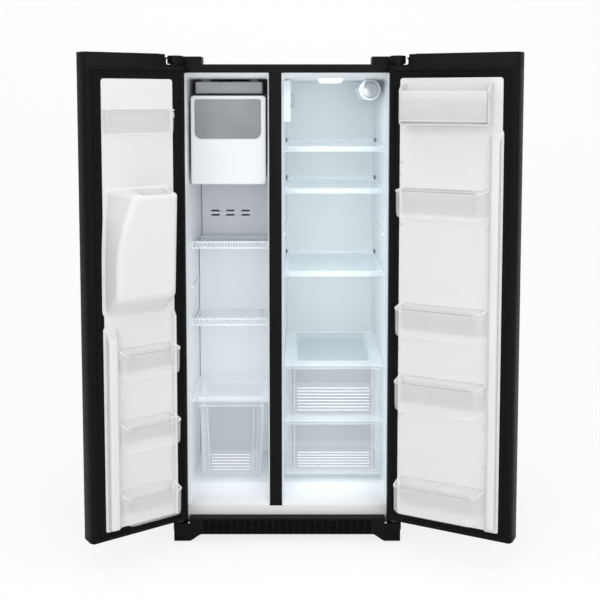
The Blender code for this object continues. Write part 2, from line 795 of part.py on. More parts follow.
class Door:
    """One door: builds its pieces in the closed pose, in a space that turns about the hinge axis."""

    def __init__(self, name, side, width, opened):
        self.name, self.side, self.width = name, side, width
        self.free = width - PIVOT_IN
        self.frame = empty(name, (side * (PIVOT_IN - half), pivot_y, 0.0), -side * opened)

    def box(self, u, v, z, edge=0.0, steps=2):
        return block([self.side * value for value in u], v, z, edge, steps)

    def upright(self, outline, span):
        """A (u, v) outline pushed along z."""
        return prism([(self.side * a, b) for a, b in outline], along_z, span)

    def sideways(self, outline, span):
        """A (v, z) outline pushed along u."""
        return prism(outline, along_x, [self.side * value for value in span])

    def layers(self, outlines):
        """A solid skinned over (u, z) outlines, each at its own v."""
        return loft([[(self.side * a, v, b) for a, b in outline] for v, outline in outlines])

    def finish(self, obj, name, slot, origin=(0.0, 0.0, 0.0)):
        u, v, z = origin
        return finish(obj, name, slot, self.frame, (self.side * u, v, z))

    def pan(self, *openings):
        near, far = -PIVOT_IN, self.free
        outer = rounded((near, far), (v_out, v_out + 0.05), (0.0, 0.0, 0.020, 0.011), 5)
        outline = [point for point in outer if point[1] < v_out + 0.03]
        outline += [(far - DOOR_TAPER * 0.35, v_in - 0.012), (far - DOOR_TAPER, v_in)]
        outline += [(near + DOOR_TAPER, v_in), (near + DOOR_TAPER * 0.35, v_in - 0.012)]
        made = self.upright(outline, (DOOR_BOTTOM, DOOR_TOP))
        cut(
            made,
            self.box((near - 0.1, 0.045), (v_out - 0.1, v_in + 0.1), (corner_top, DOOR_TOP + 0.1)),
            self.box((near - 0.1, 0.074), (v_in - 0.020, v_in + 0.1), (DOOR_TOP - 0.012, DOOR_TOP + 0.1)),
            self.box((0.040, 0.063), (v_in - 0.010, v_in + 0.1), (corner_top + 0.002, DOOR_TOP - 0.018)),
            disc((0.0, 0.0), along_z, PIN + GAP, (corner_top - 0.024, corner_top + 0.1)),
            disc((0.0, 0.0), along_z, PIN + GAP, (DOOR_BOTTOM - 0.1, DOOR_BOTTOM + 0.023)),
            *openings,
        )
        return self.finish(made, f"{self.name}_pan", "black_enamel")

    def gasket(self, u, z):
        """A flat frame round the liner, whose limits are u and z, with a raised bead near its outer edge."""
        outer_u = (-PIVOT_IN + DOOR_TAPER + 0.001, self.free - DOOR_TAPER - 0.001)
        outer_z = (DOOR_BOTTOM + 0.008, DOOR_TOP - 0.045)
        flat, bead = v_liner + 0.003, PIVOT_AHEAD - 0.0010
        made = self.box(outer_u, (v_liner, flat), outer_z, 0.001, 1)
        ring = self.box(
            (
                outer_u[0] + 0.003,
                outer_u[1] - 0.003,
            ), (v_liner + 0.001, bead), (outer_z[0] + 0.003, outer_z[1] - 0.003), 0.002
        )
        cut(
            ring,
            self.box(
                (
                    outer_u[0] + 0.015,
                    outer_u[1] - 0.015,
                ), (v_liner - 0.1, bead + 0.1), (outer_z[0] + 0.015, outer_z[1] - 0.015)
            ),
        )
        join(made, ring)
        cut(made, self.box((u[0] - GAP, u[1] + GAP), (v_liner - 0.1, bead + 0.1), (z[0] - GAP, z[1] + GAP)))
        return self.finish(made, f"{self.name}_gasket", "black_rubber")

    def handle(self, u, z):
        """An upright round bar, bent back to the door face at both ends."""
        reach, bend, radius = v_out - HANDLE_PROUD + 0.009, 0.022, 0.009
        path = [(v_out - 0.006, z[0], 0.0)]
        for centre_z, start in ((z[0] + bend, 0), (z[1] - bend, 90)):
            for step in range(5):
                turn = radians(start + 22.5 * step)
                path.append((reach + bend - bend * sin(turn), centre_z - bend * cos(turn), turn))
        path.append((v_out - 0.006, z[1], radians(180)))
        bar = loft(
            [
                [
                    (self.side * u + b, v + a * sin(turn), level + a * cos(turn))
                    for a, b in circle(0.0, 0.0, radius, 14)
                ]
                for v, level, turn in path
            ]
        )
        for level in z:
            foot = self.box(
                (u - 0.011, u + 0.011),
                (v_out - 0.014, v_out - GAP),
                (level - 0.020, level + 0.020),
                0.003,
            )
            join(bar, foot)
        return self.finish(bar, f"{self.name}_handle", "black_plastic")

    def bin(self, name, base, front, z, front_top, reach, chamfer=0.0):
        """An open bin; base and front are its u limits at the liner and at its front, wider at the liner."""
        near = v_liner + SHEET + GAP
        rings = []
        for inset in (0.0, WALL):
            ring = []
            for level, draw in ((z[0] + inset, 0.012 + chamfer), (z[0] + 0.030, 0.004), (z[1], 0.0)):
                top = level == z[1]
                far = reach - inset - draw
                narrow = 0.004 if not top else 0.0
                quad = [
                    (base[0] + inset + narrow, near + inset),
                    (base[1] - inset - narrow, near + inset),
                    (front[1] - inset - narrow, far - 0.010),
                    (front[1] - inset - narrow - 0.010, far),
                    (front[0] + inset + narrow + 0.010, far),
                    (front[0] + inset + narrow, far - 0.010),
                ]
                ring.append([(self.side * a, b, level) for a, b in quad])
            rings.append(ring)
        made = cup(*rings)
        if front_top > z[1]:
            lip = self.box(
                (
                    front[0] + 0.008,
                    front[1] - 0.008,
                ), (reach - 0.0022, reach + 0.0006), (z[1] - 0.010, front_top)
            )
            join(made, lip)
        return self.finish(made, name, "clear_plastic")


freezer = Door("freezer_door", 1, w(FREEZER_DOOR_WIDTH), FREEZER_DOOR_OPEN)
fridge = Door("fridge_door", -1, w(FRIDGE_DOOR_WIDTH), FRIDGE_DOOR_OPEN)

# Freezer door: the liner swells into a housing over the dispenser, with a chute recess in its top.
fu, fz = (w(0.029), w(0.284)), (h(0.141), h(1.683))
cup_u, cup_z = (w(0.088), w(0.262)), (h(0.935), h(1.205))
cup_depth = 0.072
freezer.pan(
    freezer.box(
        (cup_u[0] - 0.0005, cup_u[1] + 0.0005),
        (v_out - 0.1, v_in + 0.1),
        (cup_z[0] - 0.0005, cup_z[1] + 0.0005),
    )
)
liner_f = freezer.box(fu, (v_liner, v_liner + SHEET), fz, 0.0015, 1)
swell_base = [
    (w(0.050), h(1.312)),
    (w(0.215), h(1.312)),
    (w(0.2655), h(1.180)),
    (w(0.282), h(1.100)),
    (w(0.283), h(0.885)),
    (w(0.062), h(0.885)),
]
swell_front = [
    (w(0.056), h(1.297)),
    (w(0.207), h(1.297)),
    (w(0.252), h(1.175)),
    (w(0.272), h(1.100)),
    (w(0.274), h(0.955)),
    (w(0.066), h(0.955)),
]
swell = freezer.layers([(v_liner + 0.001, swell_base), (0.145, swell_front)])
chute = freezer.layers(
    [
        (
            v_liner + 0.012,
            [(w(0.068), h(1.36)), (w(0.204), h(1.36)), (w(0.190), h(1.262)), (w(0.082), h(1.262))],
        ),
        (0.136, [(w(0.066), h(1.36)), (w(0.198), h(1.36)), (w(0.180), h(1.268)), (w(0.084), h(1.268))]),
    ]
)
dyke_top = h(0.840)
join(
    liner_f,
    swell,
    freezer.layers(
        [
            (
                v_liner + 0.001,
                [(w(0.244), h(0.142)), (w(0.283), h(0.142)), (w(0.283), dyke_top), (w(0.244), dyke_top)],
            ),
            (
                0.074,
                [
                    (w(0.248), h(0.150)),
                    (w(0.279), h(0.150)),
                    (w(0.279), dyke_top - 0.030),
                    (w(0.248), dyke_top - 0.030),
                ],
            ),
        ]
    ),
    freezer.layers(
        [
            (
                v_liner + 0.001,
                [(w(0.030), h(0.142)), (w(0.042), h(0.142)), (w(0.042), h(0.880)), (w(0.030), h(0.880))],
            ),
            (
                0.062,
                [(w(0.031), h(0.150)), (w(0.040), h(0.150)), (w(0.040), h(0.860)), (w(0.031), h(0.860))],
            ),
        ]
    ),
)
cut(
    liner_f,
    chute,
    freezer.box(
        (cup_u[0] - 0.001, cup_u[1] + 0.001),
        (-0.1, cup_depth + 0.001),
        (cup_z[0] - 0.001, cup_z[1] + 0.001),
    ),
)
freezer.finish(liner_f, "freezer_door_liner", "warm_white_liner")
freezer.gasket(fu, fz)
freezer.handle(w(0.316), (h(0.600), h(1.540)))
freezer.bin(
    "freezer_bin_1",
    (w(0.039), w(0.283)),
    (w(0.041), w(0.278)),
    (h(1.495), h(1.580)),
    h(1.591),
    0.090,
)
for number, (low, high) in enumerate(((0.678, 0.778), (0.430, 0.527), (0.178, 0.283)), 2):
    freezer.bin(
        f"freezer_bin_{number}", (w(0.0445), w(0.243)), (w(0.047), w(0.240)), (
            h(low),
            h(high - 0.010),
        ), h(high), BIN_REACH
    )

# Dispenser: a bezel proud of the outer face, with its recess running through the pan.
face_v = v_out - 0.0055
bezel = freezer.box((w(0.050), w(0.322)), (face_v, v_out - GAP), (h(0.915), h(1.410)), 0.002)
join(bezel, freezer.box(cup_u, (v_out - 0.002, cup_depth), cup_z, 0.002))
cut(
    bezel,
    freezer.layers(
        [
            (
                face_v - 0.1,
                rounded((cup_u[0] + WALL, cup_u[1] - WALL), (cup_z[0] + WALL, cup_z[1] - WALL), 0.012),
            ),
            (
                cup_depth - WALL,
                rounded((cup_u[0] + WALL, cup_u[1] - WALL), (cup_z[0] + WALL, cup_z[1] - WALL), 0.012),
            ),
        ]
    ),
    freezer.box((w(0.062), w(0.310)), (face_v - 0.1, face_v + 0.0015), (h(1.235), h(1.398))),
)
paddle_v, paddle_z = 0.034, h(1.170)
paddle_u = (w(0.148), w(0.202))
lug_z = cup_z[1] - WALL
join(
    bezel,
    *(
        freezer.box((u, u + 0.005), (paddle_v - 0.007, paddle_v + 0.007), (paddle_z - 0.008, lug_z + 0.002))
        for u in (paddle_u[0] - 0.0055, paddle_u[1] + 0.0005)
    ),
)
cut(
    bezel,
    freezer.sideways(circle(paddle_v, paddle_z, 0.0035, 16), (paddle_u[0] - 0.0056, paddle_u[1] + 0.0056)),
)
freezer.finish(bezel, "dispenser_bezel", "black_plastic")
paddle = join(
    freezer.box(paddle_u, (paddle_v - 0.002, paddle_v + 0.002), (h(1.020), paddle_z), 0.001, 1),
    freezer.sideways(circle(paddle_v, paddle_z, 0.0055, 16), paddle_u),
    freezer.sideways(circle(paddle_v, paddle_z, 0.0030, 16), (paddle_u[0] - 0.005, paddle_u[1] + 0.005)),
)
freezer.finish(
    paddle, "dispenser_paddle", "grey_plastic", ((paddle_u[0] + paddle_u[1]) / 2, paddle_v, paddle_z)
)

# Fridge door: the liner carries the dairy housing, whose cover is hinged along its top.
ru, rz = (w(0.021), w(0.375)), (h(0.138), h(1.687))
dairy_u, dairy_z = (w(0.042), w(0.346)), (h(1.528), h(1.670))
fridge.pan()
liner_r = fridge.box(ru, (v_liner, v_liner + SHEET), rz, 0.0015, 1)
join(
    liner_r,
    fridge.layers(
        [
            (
                v_liner + 0.001,
                [(w(0.338), h(0.140)), (w(0.3735), h(0.140)), (w(0.3735), h(1.500)), (w(0.338), h(1.500))],
            ),
            (
                0.064,
                [(w(0.342), h(0.150)), (w(0.369), h(0.150)), (w(0.369), h(1.470)), (w(0.342), h(1.470))],
            ),
        ]
    ),
    fridge.box(
        (dairy_u[0], dairy_u[1]),
        (v_liner + 0.001, 0.116),
        (dairy_z[0], dairy_z[0] + 0.004),
        0.001,
        1,
    ),
    *(
        fridge.sideways(
            [
                (v_liner + 0.001, dairy_z[0] + 0.001),
                (0.114, dairy_z[0] + 0.001),
                (0.122, dairy_z[0] + 0.012),
                (0.122, h(1.645)),
                (0.110, h(1.656)),
                (v_liner + 0.001, dairy_z[1]),
            ],
            span,
        )
        for span in ((dairy_u[0], dairy_u[0] + 0.004), (dairy_u[1] - 0.004, dairy_u[1]))
    ),
)
dairy_v, dairy_pin = 0.113, h(1.640)
cut(
    liner_r,
    fridge.sideways(circle(dairy_v, dairy_pin, 0.0033, 16), (dairy_u[0] - 0.01, dairy_u[1] + 0.01)),
)
fridge.finish(liner_r, "fridge_door_liner", "warm_white_liner")
fridge.gasket(ru, rz)
fridge.handle(w(0.400), (h(0.600), h(1.540)))
cover_u = (dairy_u[0] + 0.0045, dairy_u[1] - 0.0045)
front_curve = [
    (0.108, 1.6440),
    (0.118, 1.6445),
    (0.128, 1.6330),
    (0.133, 1.6100),
    (0.134, 1.5700),
    (0.131, 1.5430),
    (0.124, 1.5340),
    (0.119, 1.5340),
    (0.119, 1.5370),
    (0.123, 1.5375),
    (0.128, 1.5450),
    (0.131, 1.5700),
    (0.130, 1.6100),
    (0.1255, 1.6315),
    (0.1165, 1.6410),
    (0.1175, 1.6370),
    (0.108, 1.6365),
]
dairy = join(
    fridge.sideways([(v, h(z)) for v, z in front_curve], cover_u),
    fridge.sideways(circle(dairy_v, dairy_pin, 0.0030, 16), (dairy_u[0] + 0.0005, dairy_u[1] - 0.0005)),
)
fridge.finish(dairy, "dairy_cover", "clear_plastic", ((cover_u[0] + cover_u[1]) / 2, dairy_v, dairy_pin))
for letter, low, high, chamfer in (
    ("a", 1.213, 1.320, 0.0),
    ("b", 0.804, 0.916, 0.0),
    ("c", 0.545, 0.660, 0.0),
    ("d", 0.175, 0.293, 0.012),
):
    fridge.bin(
        f"fridge_bin_{letter}",
        (w(0.030), w(0.335)),
        (w(0.034), w(0.313)),
        (h(low), h(high - 0.012)),
        h(high),
        BIN_REACH,
        chamfer,
    )

# Stand the whole refrigerator over the origin.
bpy.context.view_layer.update()
corners = [
    obj.matrix_world @ Vector(corner)
    for obj in bpy.data.objects
    if obj.type == "MESH"
    for corner in obj.bound_box
]
centre = [
    (min(point[axis] for point in corners) + max(point[axis] for point in corners)) / 2
    for axis in (0, 1)
]
for obj in bpy.data.objects:
    if obj.parent is None:
        obj.location.x -= centre[0]
        obj.location.y -= centre[1]
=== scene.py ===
import json
from math import cos, radians, sin

import bmesh
import bpy
from mathutils import Matrix, Vector


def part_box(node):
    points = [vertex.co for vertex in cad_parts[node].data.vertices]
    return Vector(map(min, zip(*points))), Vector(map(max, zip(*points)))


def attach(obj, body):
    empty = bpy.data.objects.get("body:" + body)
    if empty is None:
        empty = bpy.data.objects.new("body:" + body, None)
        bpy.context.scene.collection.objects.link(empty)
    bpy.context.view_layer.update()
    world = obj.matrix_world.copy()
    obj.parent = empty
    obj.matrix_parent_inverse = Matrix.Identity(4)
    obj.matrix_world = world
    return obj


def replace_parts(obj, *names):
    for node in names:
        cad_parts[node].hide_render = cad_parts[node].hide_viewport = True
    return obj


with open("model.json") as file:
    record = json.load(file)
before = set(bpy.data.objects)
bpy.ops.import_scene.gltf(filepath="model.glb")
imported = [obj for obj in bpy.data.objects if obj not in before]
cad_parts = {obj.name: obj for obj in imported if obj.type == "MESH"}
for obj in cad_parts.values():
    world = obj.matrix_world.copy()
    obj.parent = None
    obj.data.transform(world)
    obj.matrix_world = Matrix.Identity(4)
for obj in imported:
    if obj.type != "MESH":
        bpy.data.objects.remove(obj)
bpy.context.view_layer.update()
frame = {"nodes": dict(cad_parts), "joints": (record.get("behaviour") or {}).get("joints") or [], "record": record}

GAP = 0.0003
# How far a cutter runs past what it cuts.
PAST = 0.1


# ---------------------------------------------------------------- materials
MATERIALS = {}


def shader(name, colour, roughness, metallic=0.0, coat=0.0, specular=0.5):
    """A Principled material, kept by its name; uniform values sit directly on the shader."""
    made = bpy.data.materials.new(name)
    MATERIALS[name] = made
    made.use_nodes = True
    bsdf = made.node_tree.nodes["Principled BSDF"]
    bsdf.inputs["Base Color"].default_value = (*colour, 1.0)
    bsdf.inputs["Roughness"].default_value = roughness
    bsdf.inputs["Metallic"].default_value = metallic
    bsdf.inputs["Coat Weight"].default_value = coat
    bsdf.inputs["Specular IOR Level"].default_value = specular
    return made, made.node_tree, bsdf


def noise(tree, scale, detail=3.0, stretch=None):
    """A noise texture over the object's own coordinates, in metres."""
    coordinates = tree.nodes.new("ShaderNodeTexCoord")
    mapping = tree.nodes.new("ShaderNodeMapping")
    mapping.inputs["Scale"].default_value = stretch or (1.0, 1.0, 1.0)
    texture = tree.nodes.new("ShaderNodeTexNoise")
    texture.inputs["Scale"].default_value = scale
    texture.inputs["Detail"].default_value = detail
    tree.links.new(coordinates.outputs["Object"], mapping.inputs["Vector"])
    tree.links.new(mapping.outputs["Vector"], texture.inputs["Vector"])
    return texture.outputs["Fac"]


def ramp(tree, source, low, high, start=0.35, end=0.65):
    """Maps a texture's middle range onto low to high."""
    node = tree.nodes.new("ShaderNodeMapRange")
    node.inputs["From Min"].default_value = start
    node.inputs["From Max"].default_value = end
    node.inputs["To Min"].default_value = low
    node.inputs["To Max"].default_value = high
    tree.links.new(source, node.inputs["Value"])
    return node.outputs["Result"]


def bump(tree, bsdf, source, strength, distance):
    node = tree.nodes.new("ShaderNodeBump")
    node.inputs["Strength"].default_value = strength
    node.inputs["Distance"].default_value = distance
    tree.links.new(source, node.inputs["Height"])
    tree.links.new(node.outputs["Normal"], bsdf.inputs["Normal"])


def tint(tree, bsdf, source, colour, spread):
    """Base colour that drifts a little round colour."""
    mix = tree.nodes.new("ShaderNodeMix")
    mix.data_type = "RGBA"
    low = [max(0.0, c * (1 - spread)) for c in colour]
    high = [min(1.0, c * (1 + spread)) for c in colour]
    mix.inputs["A"].default_value = (*low, 1.0)
    mix.inputs["B"].default_value = (*high, 1.0)
    tree.links.new(source, mix.inputs["Factor"])
    tree.links.new(mix.outputs["Result"], bsdf.inputs["Base Color"])


def surfaced(name, colour, roughness, spread=0.03, grain=90.0, depth=0.0002, strength=0.15, **more):
    """An opaque material whose colour, roughness and surface vary with the real finish."""
    made, tree, bsdf = shader(name, colour, roughness, **more)
    broad = noise(tree, 6.0)
    fine = noise(tree, grain)
    tint(tree, bsdf, broad, colour, spread)
    tree.links.new(ramp(tree, fine, roughness * 0.88, roughness * 1.12), bsdf.inputs["Roughness"])
    bump(tree, bsdf, fine, strength, depth)
    return made


def clear(name, colour, roughness, low, high, blend=0.35, glow=0.05):
    """A see-through plastic or glass, denser where it is seen edge on, with a painted glow (emission) standing in
    for light scattered through it.
    """
    made, tree, bsdf = shader(name, colour, roughness, specular=0.5)
    # Painted glow: emission in the plastic's own colour stands in for light carried through it; the part is no
    # lamp.
    bsdf.inputs["Emission Color"].default_value = (*colour, 1.0)
    bsdf.inputs["Emission Strength"].default_value = glow
    facing = tree.nodes.new("ShaderNodeLayerWeight")
    facing.inputs["Blend"].default_value = blend
    tree.links.new(ramp(tree, facing.outputs["Facing"], low, high, 0.0, 1.0), bsdf.inputs["Alpha"])
    fine = noise(tree, 40.0)
    tree.links.new(ramp(tree, fine, roughness * 0.8, roughness * 1.2), bsdf.inputs["Roughness"])
    return made


surfaced("black_enamel", (0.0045, 0.0045, 0.005), 0.34, 0.1, 420.0, 0.0001, 0.12, specular=0.12)
surfaced("black_plastic", (0.0045, 0.0045, 0.005), 0.45, 0.1, 700.0, 0.0001, 0.2, specular=0.12)
surfaced("black_rubber", (0.005, 0.005, 0.0055), 0.62, 0.1, 300.0, 0.0002, 0.2, specular=0.1)
surfaced("cool_white_liner", (0.905, 0.935, 0.955), 0.32, 0.015, 60.0, 0.0003, 0.08)
# Door liners: the same white plastic as the compartments, painted darker as shade for surfaces that face the
# lamps.
surfaced("warm_white_liner", (0.80, 0.80, 0.795), 0.34, 0.015, 60.0, 0.0003, 0.08)
# In each clear material the last number is its painted glow, an emission standing in for light scattered through
# the plastic.
clear("clear_plastic", (0.90, 0.95, 0.98), 0.12, 0.06, 0.45, 0.3, 0.21)
# clear_edge and bin_edge are denser, brighter copies of the clear plastics for rims, lips, posts, clips and the
# basket cover tray: partly thicker plastic, partly a painted highlight.
clear("clear_edge", (0.90, 0.94, 0.97), 0.18, 0.22, 0.62, 0.35, 0.19)
clear("bin_plastic", (0.93, 0.94, 0.94), 0.12, 0.04, 0.36, 0.3, 0.17)
clear("bin_edge", (0.95, 0.955, 0.955), 0.18, 0.2, 0.6, 0.35, 0.2)
clear("clear_frame", (0.86, 0.93, 0.97), 0.14, 0.28, 0.8, 0.35, 0.14)
# The brightest copy of the clear plastic, for the crisper ridges: moulded ridges with a painted highlight.
clear("clear_painted_highlight", (0.97, 0.99, 1.0), 0.15, 0.35, 0.8, 0.35, 0.22)
surfaced("hook_steel", (0.12, 0.13, 0.14), 0.4, 0.1, 300.0, 0.0001, 0.1)
surfaced("sill_white", (0.88, 0.885, 0.89), 0.4, 0.02, 120.0, 0.0002, 0.08)
clear("shelf_glass", (0.84, 0.94, 0.98), 0.05, 0.08, 0.5)
surfaced("shelf_white", (0.82, 0.87, 0.9), 0.36, 0.02, 80.0, 0.0002, 0.1)
surfaced("smoky_plastic", (0.27, 0.29, 0.30), 0.16, 0.45, 9.0, 0.0004, 0.1)
surfaced("grey_plastic", (0.42, 0.45, 0.47), 0.42, 0.04, 200.0, 0.0002, 0.15)
surfaced("black_gloss", (0.004, 0.004, 0.005), 0.12, 0.1, 30.0, 0.0001, 0.03, specular=0.25)
clear("dairy_plastic", (0.80, 0.81, 0.81), 0.2, 0.6, 0.9, 0.35, 0.0)
surfaced("white_wire", (0.86, 0.9, 0.93), 0.36, 0.02, 150.0, 0.0002, 0.1)
surfaced("galvanised_steel", (0.5, 0.51, 0.52), 0.42, 0.12, 55.0, 0.0003, 0.15, metallic=0.9)
surfaced("hinge_steel", (0.05, 0.05, 0.055), 0.4, 0.1, 200.0, 0.0002, 0.15, metallic=0.5)


# ---------------------------------------------------------------- mesh helpers
def link(mesh, name, material, body, soften=0.0, steps=3, angle=35.0):
    """A shown piece: smooth shaded, with its sharp edges rounded by soften, riding on a body."""
    obj = bpy.data.objects.new(name, mesh)
    bpy.context.scene.collection.objects.link(obj)
    mesh.materials.clear()
    mesh.materials.append(MATERIALS[material])
    mesh.shade_smooth()
    if soften:
        bevel = obj.modifiers.new("soften", "BEVEL")
        bevel.width = soften
        bevel.segments = steps
        bevel.limit_method = "ANGLE"
        bevel.angle_limit = radians(angle)
        bevel.harden_normals = True
    else:
        mesh.set_sharp_from_angle(angle=radians(angle))
        even = obj.modifiers.new("even", "WEIGHTED_NORMAL")
        even.keep_sharp = True
    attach(obj, body)
    return obj


def to_mesh(bm):
    bmesh.ops.recalc_face_normals(bm, faces=bm.faces)
    mesh = bpy.data.meshes.new("piece")
    bm.to_mesh(mesh)
    bm.free()
    return mesh


def skin(bm, rings, caps=(True, True)):
    """Skins rings of equal numbers of points into bm."""
    loops = [[bm.verts.new(point) for point in ring] for ring in rings]
    count = len(loops[0])
    for near, far in zip(loops, loops[1:]):
        for i in range(count):
            j = (i + 1) % count
            bm.faces.new((near[i], near[j], far[j], far[i]))
    if caps[0]:
        bm.faces.new(loops[0][::-1])
    if caps[1]:
        bm.faces.new(loops[-1])


def rounded(a, b, radius, steps=5):
    """Outline of a rectangle with rounded corners. The radius is one number, or one for each corner."""
    a, b = sorted(a), sorted(b)
    radii = radius if isinstance(radius, tuple) else (radius,) * 4
    corners = ((1, 1, 0), (0, 1, 90), (0, 0, 180), (1, 0, 270))
    points = []
    for (i, j, start), r in zip(corners, radii):
        ca = a[i] + (-r if i else r)
        cb = b[j] + (-r if j else r)
        for step in range(steps + 1):
            turn = radians(start + 90 * step / steps)
            points.append((ca + r * cos(turn), cb + r * sin(turn)))
    return points


def circle(a, b, radius, sides=32):
    turns = [radians(360 * i / sides) for i in range(sides)]
    return [(a + radius * cos(turn), b + radius * sin(turn)) for turn in turns]


def along_x(a, b, c):
    return (c, a, b)


def along_y(a, b, c):
    return (a, c, b)


def along_z(a, b, c):
    return (a, b, c)


def add_block(bm, x, y, z):
    """A box between limits, added to bm."""
    made = bmesh.ops.create_cube(bm, size=1.0)
    x, y, z = sorted(x), sorted(y), sorted(z)
    for vert in made["verts"]:
        vert.co = [limits[value > 0] for limits, value in zip((x, y, z), vert.co)]


def add_prism(bm, outline, place, span):
    skin(bm, [[place(a, b, c) for a, b in outline] for c in span])


def add_rod(bm, start, end, radius, sides=10):
    """A round bar between two points, added to bm."""
    start, end = Vector(start), Vector(end)
    made = bmesh.ops.create_cone(
        bm,
        cap_ends=True,
        segments=sides,
        radius1=radius,
        radius2=radius,
        depth=(end - start).length,
    )
    turn = (end - start).to_track_quat("Z", "Y").to_matrix().to_4x4()
    bmesh.ops.transform(
        bm, matrix=Matrix.Translation((start + end) / 2) @ turn, verts=made["verts"]
    )


def vessel(bm, outer, inner):
    """A thin-walled open shape, from outer and inner rings that both start at the closed end."""
    skin(bm, [*outer, *inner[::-1]])


BODY_OF = {
    node: body
    for body, nodes in frame["record"]["behaviour"]["bodies"].items()
    for node in nodes
}


def combine(base, operation, tools):
    """The base object's mesh joined with the tools, or cut by them; the tools are used up."""
    for tool in tools:
        step = base.modifiers.new("step", "BOOLEAN")
        step.operation = operation
        step.solver = "EXACT"
        step.object = tool
    bpy.context.view_layer.update()
    graph = bpy.context.evaluated_depsgraph_get()
    mesh = bpy.data.meshes.new_from_object(base.evaluated_get(graph))
    for obj in (base, *tools):
        bpy.data.objects.remove(obj)
    return mesh


def solid(fill):
    """A loose object from a function that adds to a bmesh."""
    bm = bmesh.new()
    fill(bm)
    obj = bpy.data.objects.new("loose", to_mesh(bm))
    bpy.context.scene.collection.objects.link(obj)
    return obj


def shaped(base, joined=(), cut=()):
    """A mesh from one filling function, joined with others and then cut by others."""
    made = solid(base)
    if joined:
        mesh = combine(made, "UNION", [solid(fill) for fill in joined])
        made = bpy.data.objects.new("loose", mesh)
        bpy.context.scene.collection.objects.link(made)
    if cut:
        return combine(made, "DIFFERENCE", [solid(fill) for fill in cut])
    mesh = made.data
    bpy.data.objects.remove(made)
    return mesh


def blocks(*limits):
    """A filling function for boxes, each ((x0, x1), (y0, y1), (z0, z1))."""

    def fill(bm):
        for x, y, z in limits:
            add_block(bm, x, y, z)

    return fill


def prisms(place, *outlines):
    """A filling function for prisms, each (outline, span)."""

    def fill(bm):
        for outline, span in outlines:
            add_prism(bm, outline, place, span)

    return fill


def skinned(rings):
    return lambda bm: skin(bm, rings)


def offset(outline, inward):
    """An anticlockwise outline moved inward; a negative distance moves it outward."""
    moved = []
    for i, (a, b) in enumerate(outline):
        before, after = outline[i - 1], outline[(i + 1) % len(outline)]
        first = Vector((a - before[0], b - before[1])).normalized()
        second = Vector((after[0] - a, after[1] - b)).normalized()
        normal = Vector((-first.y - second.y, first.x + second.x))
        reach = max(0.2, 1 + first.dot(second))
        moved.append((a + normal.x * inward / reach, b + normal.y * inward / reach))
    return moved


def eased(outline, radius, steps=4):
    """An outline with each corner rounded, by one radius or one for each corner."""
    radii = radius if isinstance(radius, (tuple, list)) else [radius] * len(outline)
    points = []
    for i, (a, b) in enumerate(outline):
        here = Vector((a, b))
        back = Vector(outline[i - 1]) - here
        ahead = Vector(outline[(i + 1) % len(outline)]) - here
        reach = min(radii[i], back.length * 0.49, ahead.length * 0.49)
        start, end = here + back.normalized() * reach, here + ahead.normalized() * reach
        for step in range(steps + 1):
            t = step / steps
            points.append(tuple((1 - t) ** 2 * start + 2 * t * (1 - t) * here + t**2 * end))
    return points


def band(profile, outline_at, place):
    """A closed frame: profile is a closed list of (inset, level), carried round outline_at(inset)."""

    def fill(bm):
        loops = [
            [bm.verts.new(place(a, b, level)) for a, b in outline_at(inset)]
            for inset, level in profile
        ]
        count = len(loops[0])
        for index, near in enumerate(loops):
            far = loops[(index + 1) % len(loops)]
            for i in range(count):
                j = (i + 1) % count
                bm.faces.new((near[i], near[j], far[j], far[i]))

    return fill


def arc(start, end, steps=4):
    """Turns in radians from start to end degrees."""
    return [radians(start + (end - start) * step / steps) for step in range(steps + 1)]


def mix(first, second, t):
    return [(a0 + (a1 - a0) * t, b0 + (b1 - b0) * t) for (a0, b0), (a1, b1) in zip(first, second)]


def swell(base, front, low, high, corner, flare=0.006, edge=0.010):
    """Rings of a raised form from level low to high: flared at its foot and rounded at its top."""
    steps = [
        (low + flare * sin(turn), -flare * (1 - sin(turn)) if flare else 0.0) for turn in arc(0, 90, 3)
    ]
    steps += [(high - edge + edge * sin(turn), edge * (1 - cos(turn))) for turn in arc(0, 90, 5)]
    made = []
    for level, inset in steps:
        t = (level - low) / (high - low)
        made.append((level, eased(offset(mix(base, front, t), inset), corner)))
    return made


# ---------------------------------------------------------------- case
def spans(node):
    low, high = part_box(node)
    return tuple((low[axis], high[axis]) for axis in range(3))


def widen(span, by):
    return (span[0] - by, span[1] + by)


def slices(place, a, b, radius, *levels):
    """Rings of a rounded rectangle, one for each (level, draw), smaller by draw on every side."""
    return [
        [place(p, q, level) for p, q in rounded(widen(a, -draw), widen(b, -draw), radius)]
        for level, draw in levels
    ]


shell_x, shell_y, shell_z = spans("cabinet_shell")
mid_x, front_y = (shell_x[0] + shell_x[1]) / 2, shell_y[0]
sill_x, sill_y, sill_z = spans("sill_trim")
mullion_x, mullion_y, mullion_z = spans("mullion_cover")
WALL = 0.003
open_x = (sill_x[0] - GAP, sill_x[1] + GAP)
open_z = (mullion_z[0] - GAP, mullion_z[1] + GAP)


def roof_outline(x, z, radius):
    """A case section seen from the front: rounded at the top corners and open at the bottom."""
    return rounded(x, z, (radius, radius, 0.0, 0.0))


shell = shaped(
    prisms(along_y, (roof_outline(shell_x, shell_z, 0.006), shell_y)),
    cut=(
        blocks(
            (widen(shell_x, -0.010), (front_y + 0.0037, shell_y[1] + PAST), (-PAST, shell_z[1] - 0.010))
        ),
        prisms(
            along_y,
            (rounded(open_x, (-PAST, open_z[1]), (0.010, 0.010, 0, 0)), (front_y - PAST, front_y + PAST)),
        ),
    ),
)
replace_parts(link(shell, "case_shell", "black_enamel", "case", 0.0012), "cabinet_shell")

back_x, back_y, back_z = spans("cabinet_back")


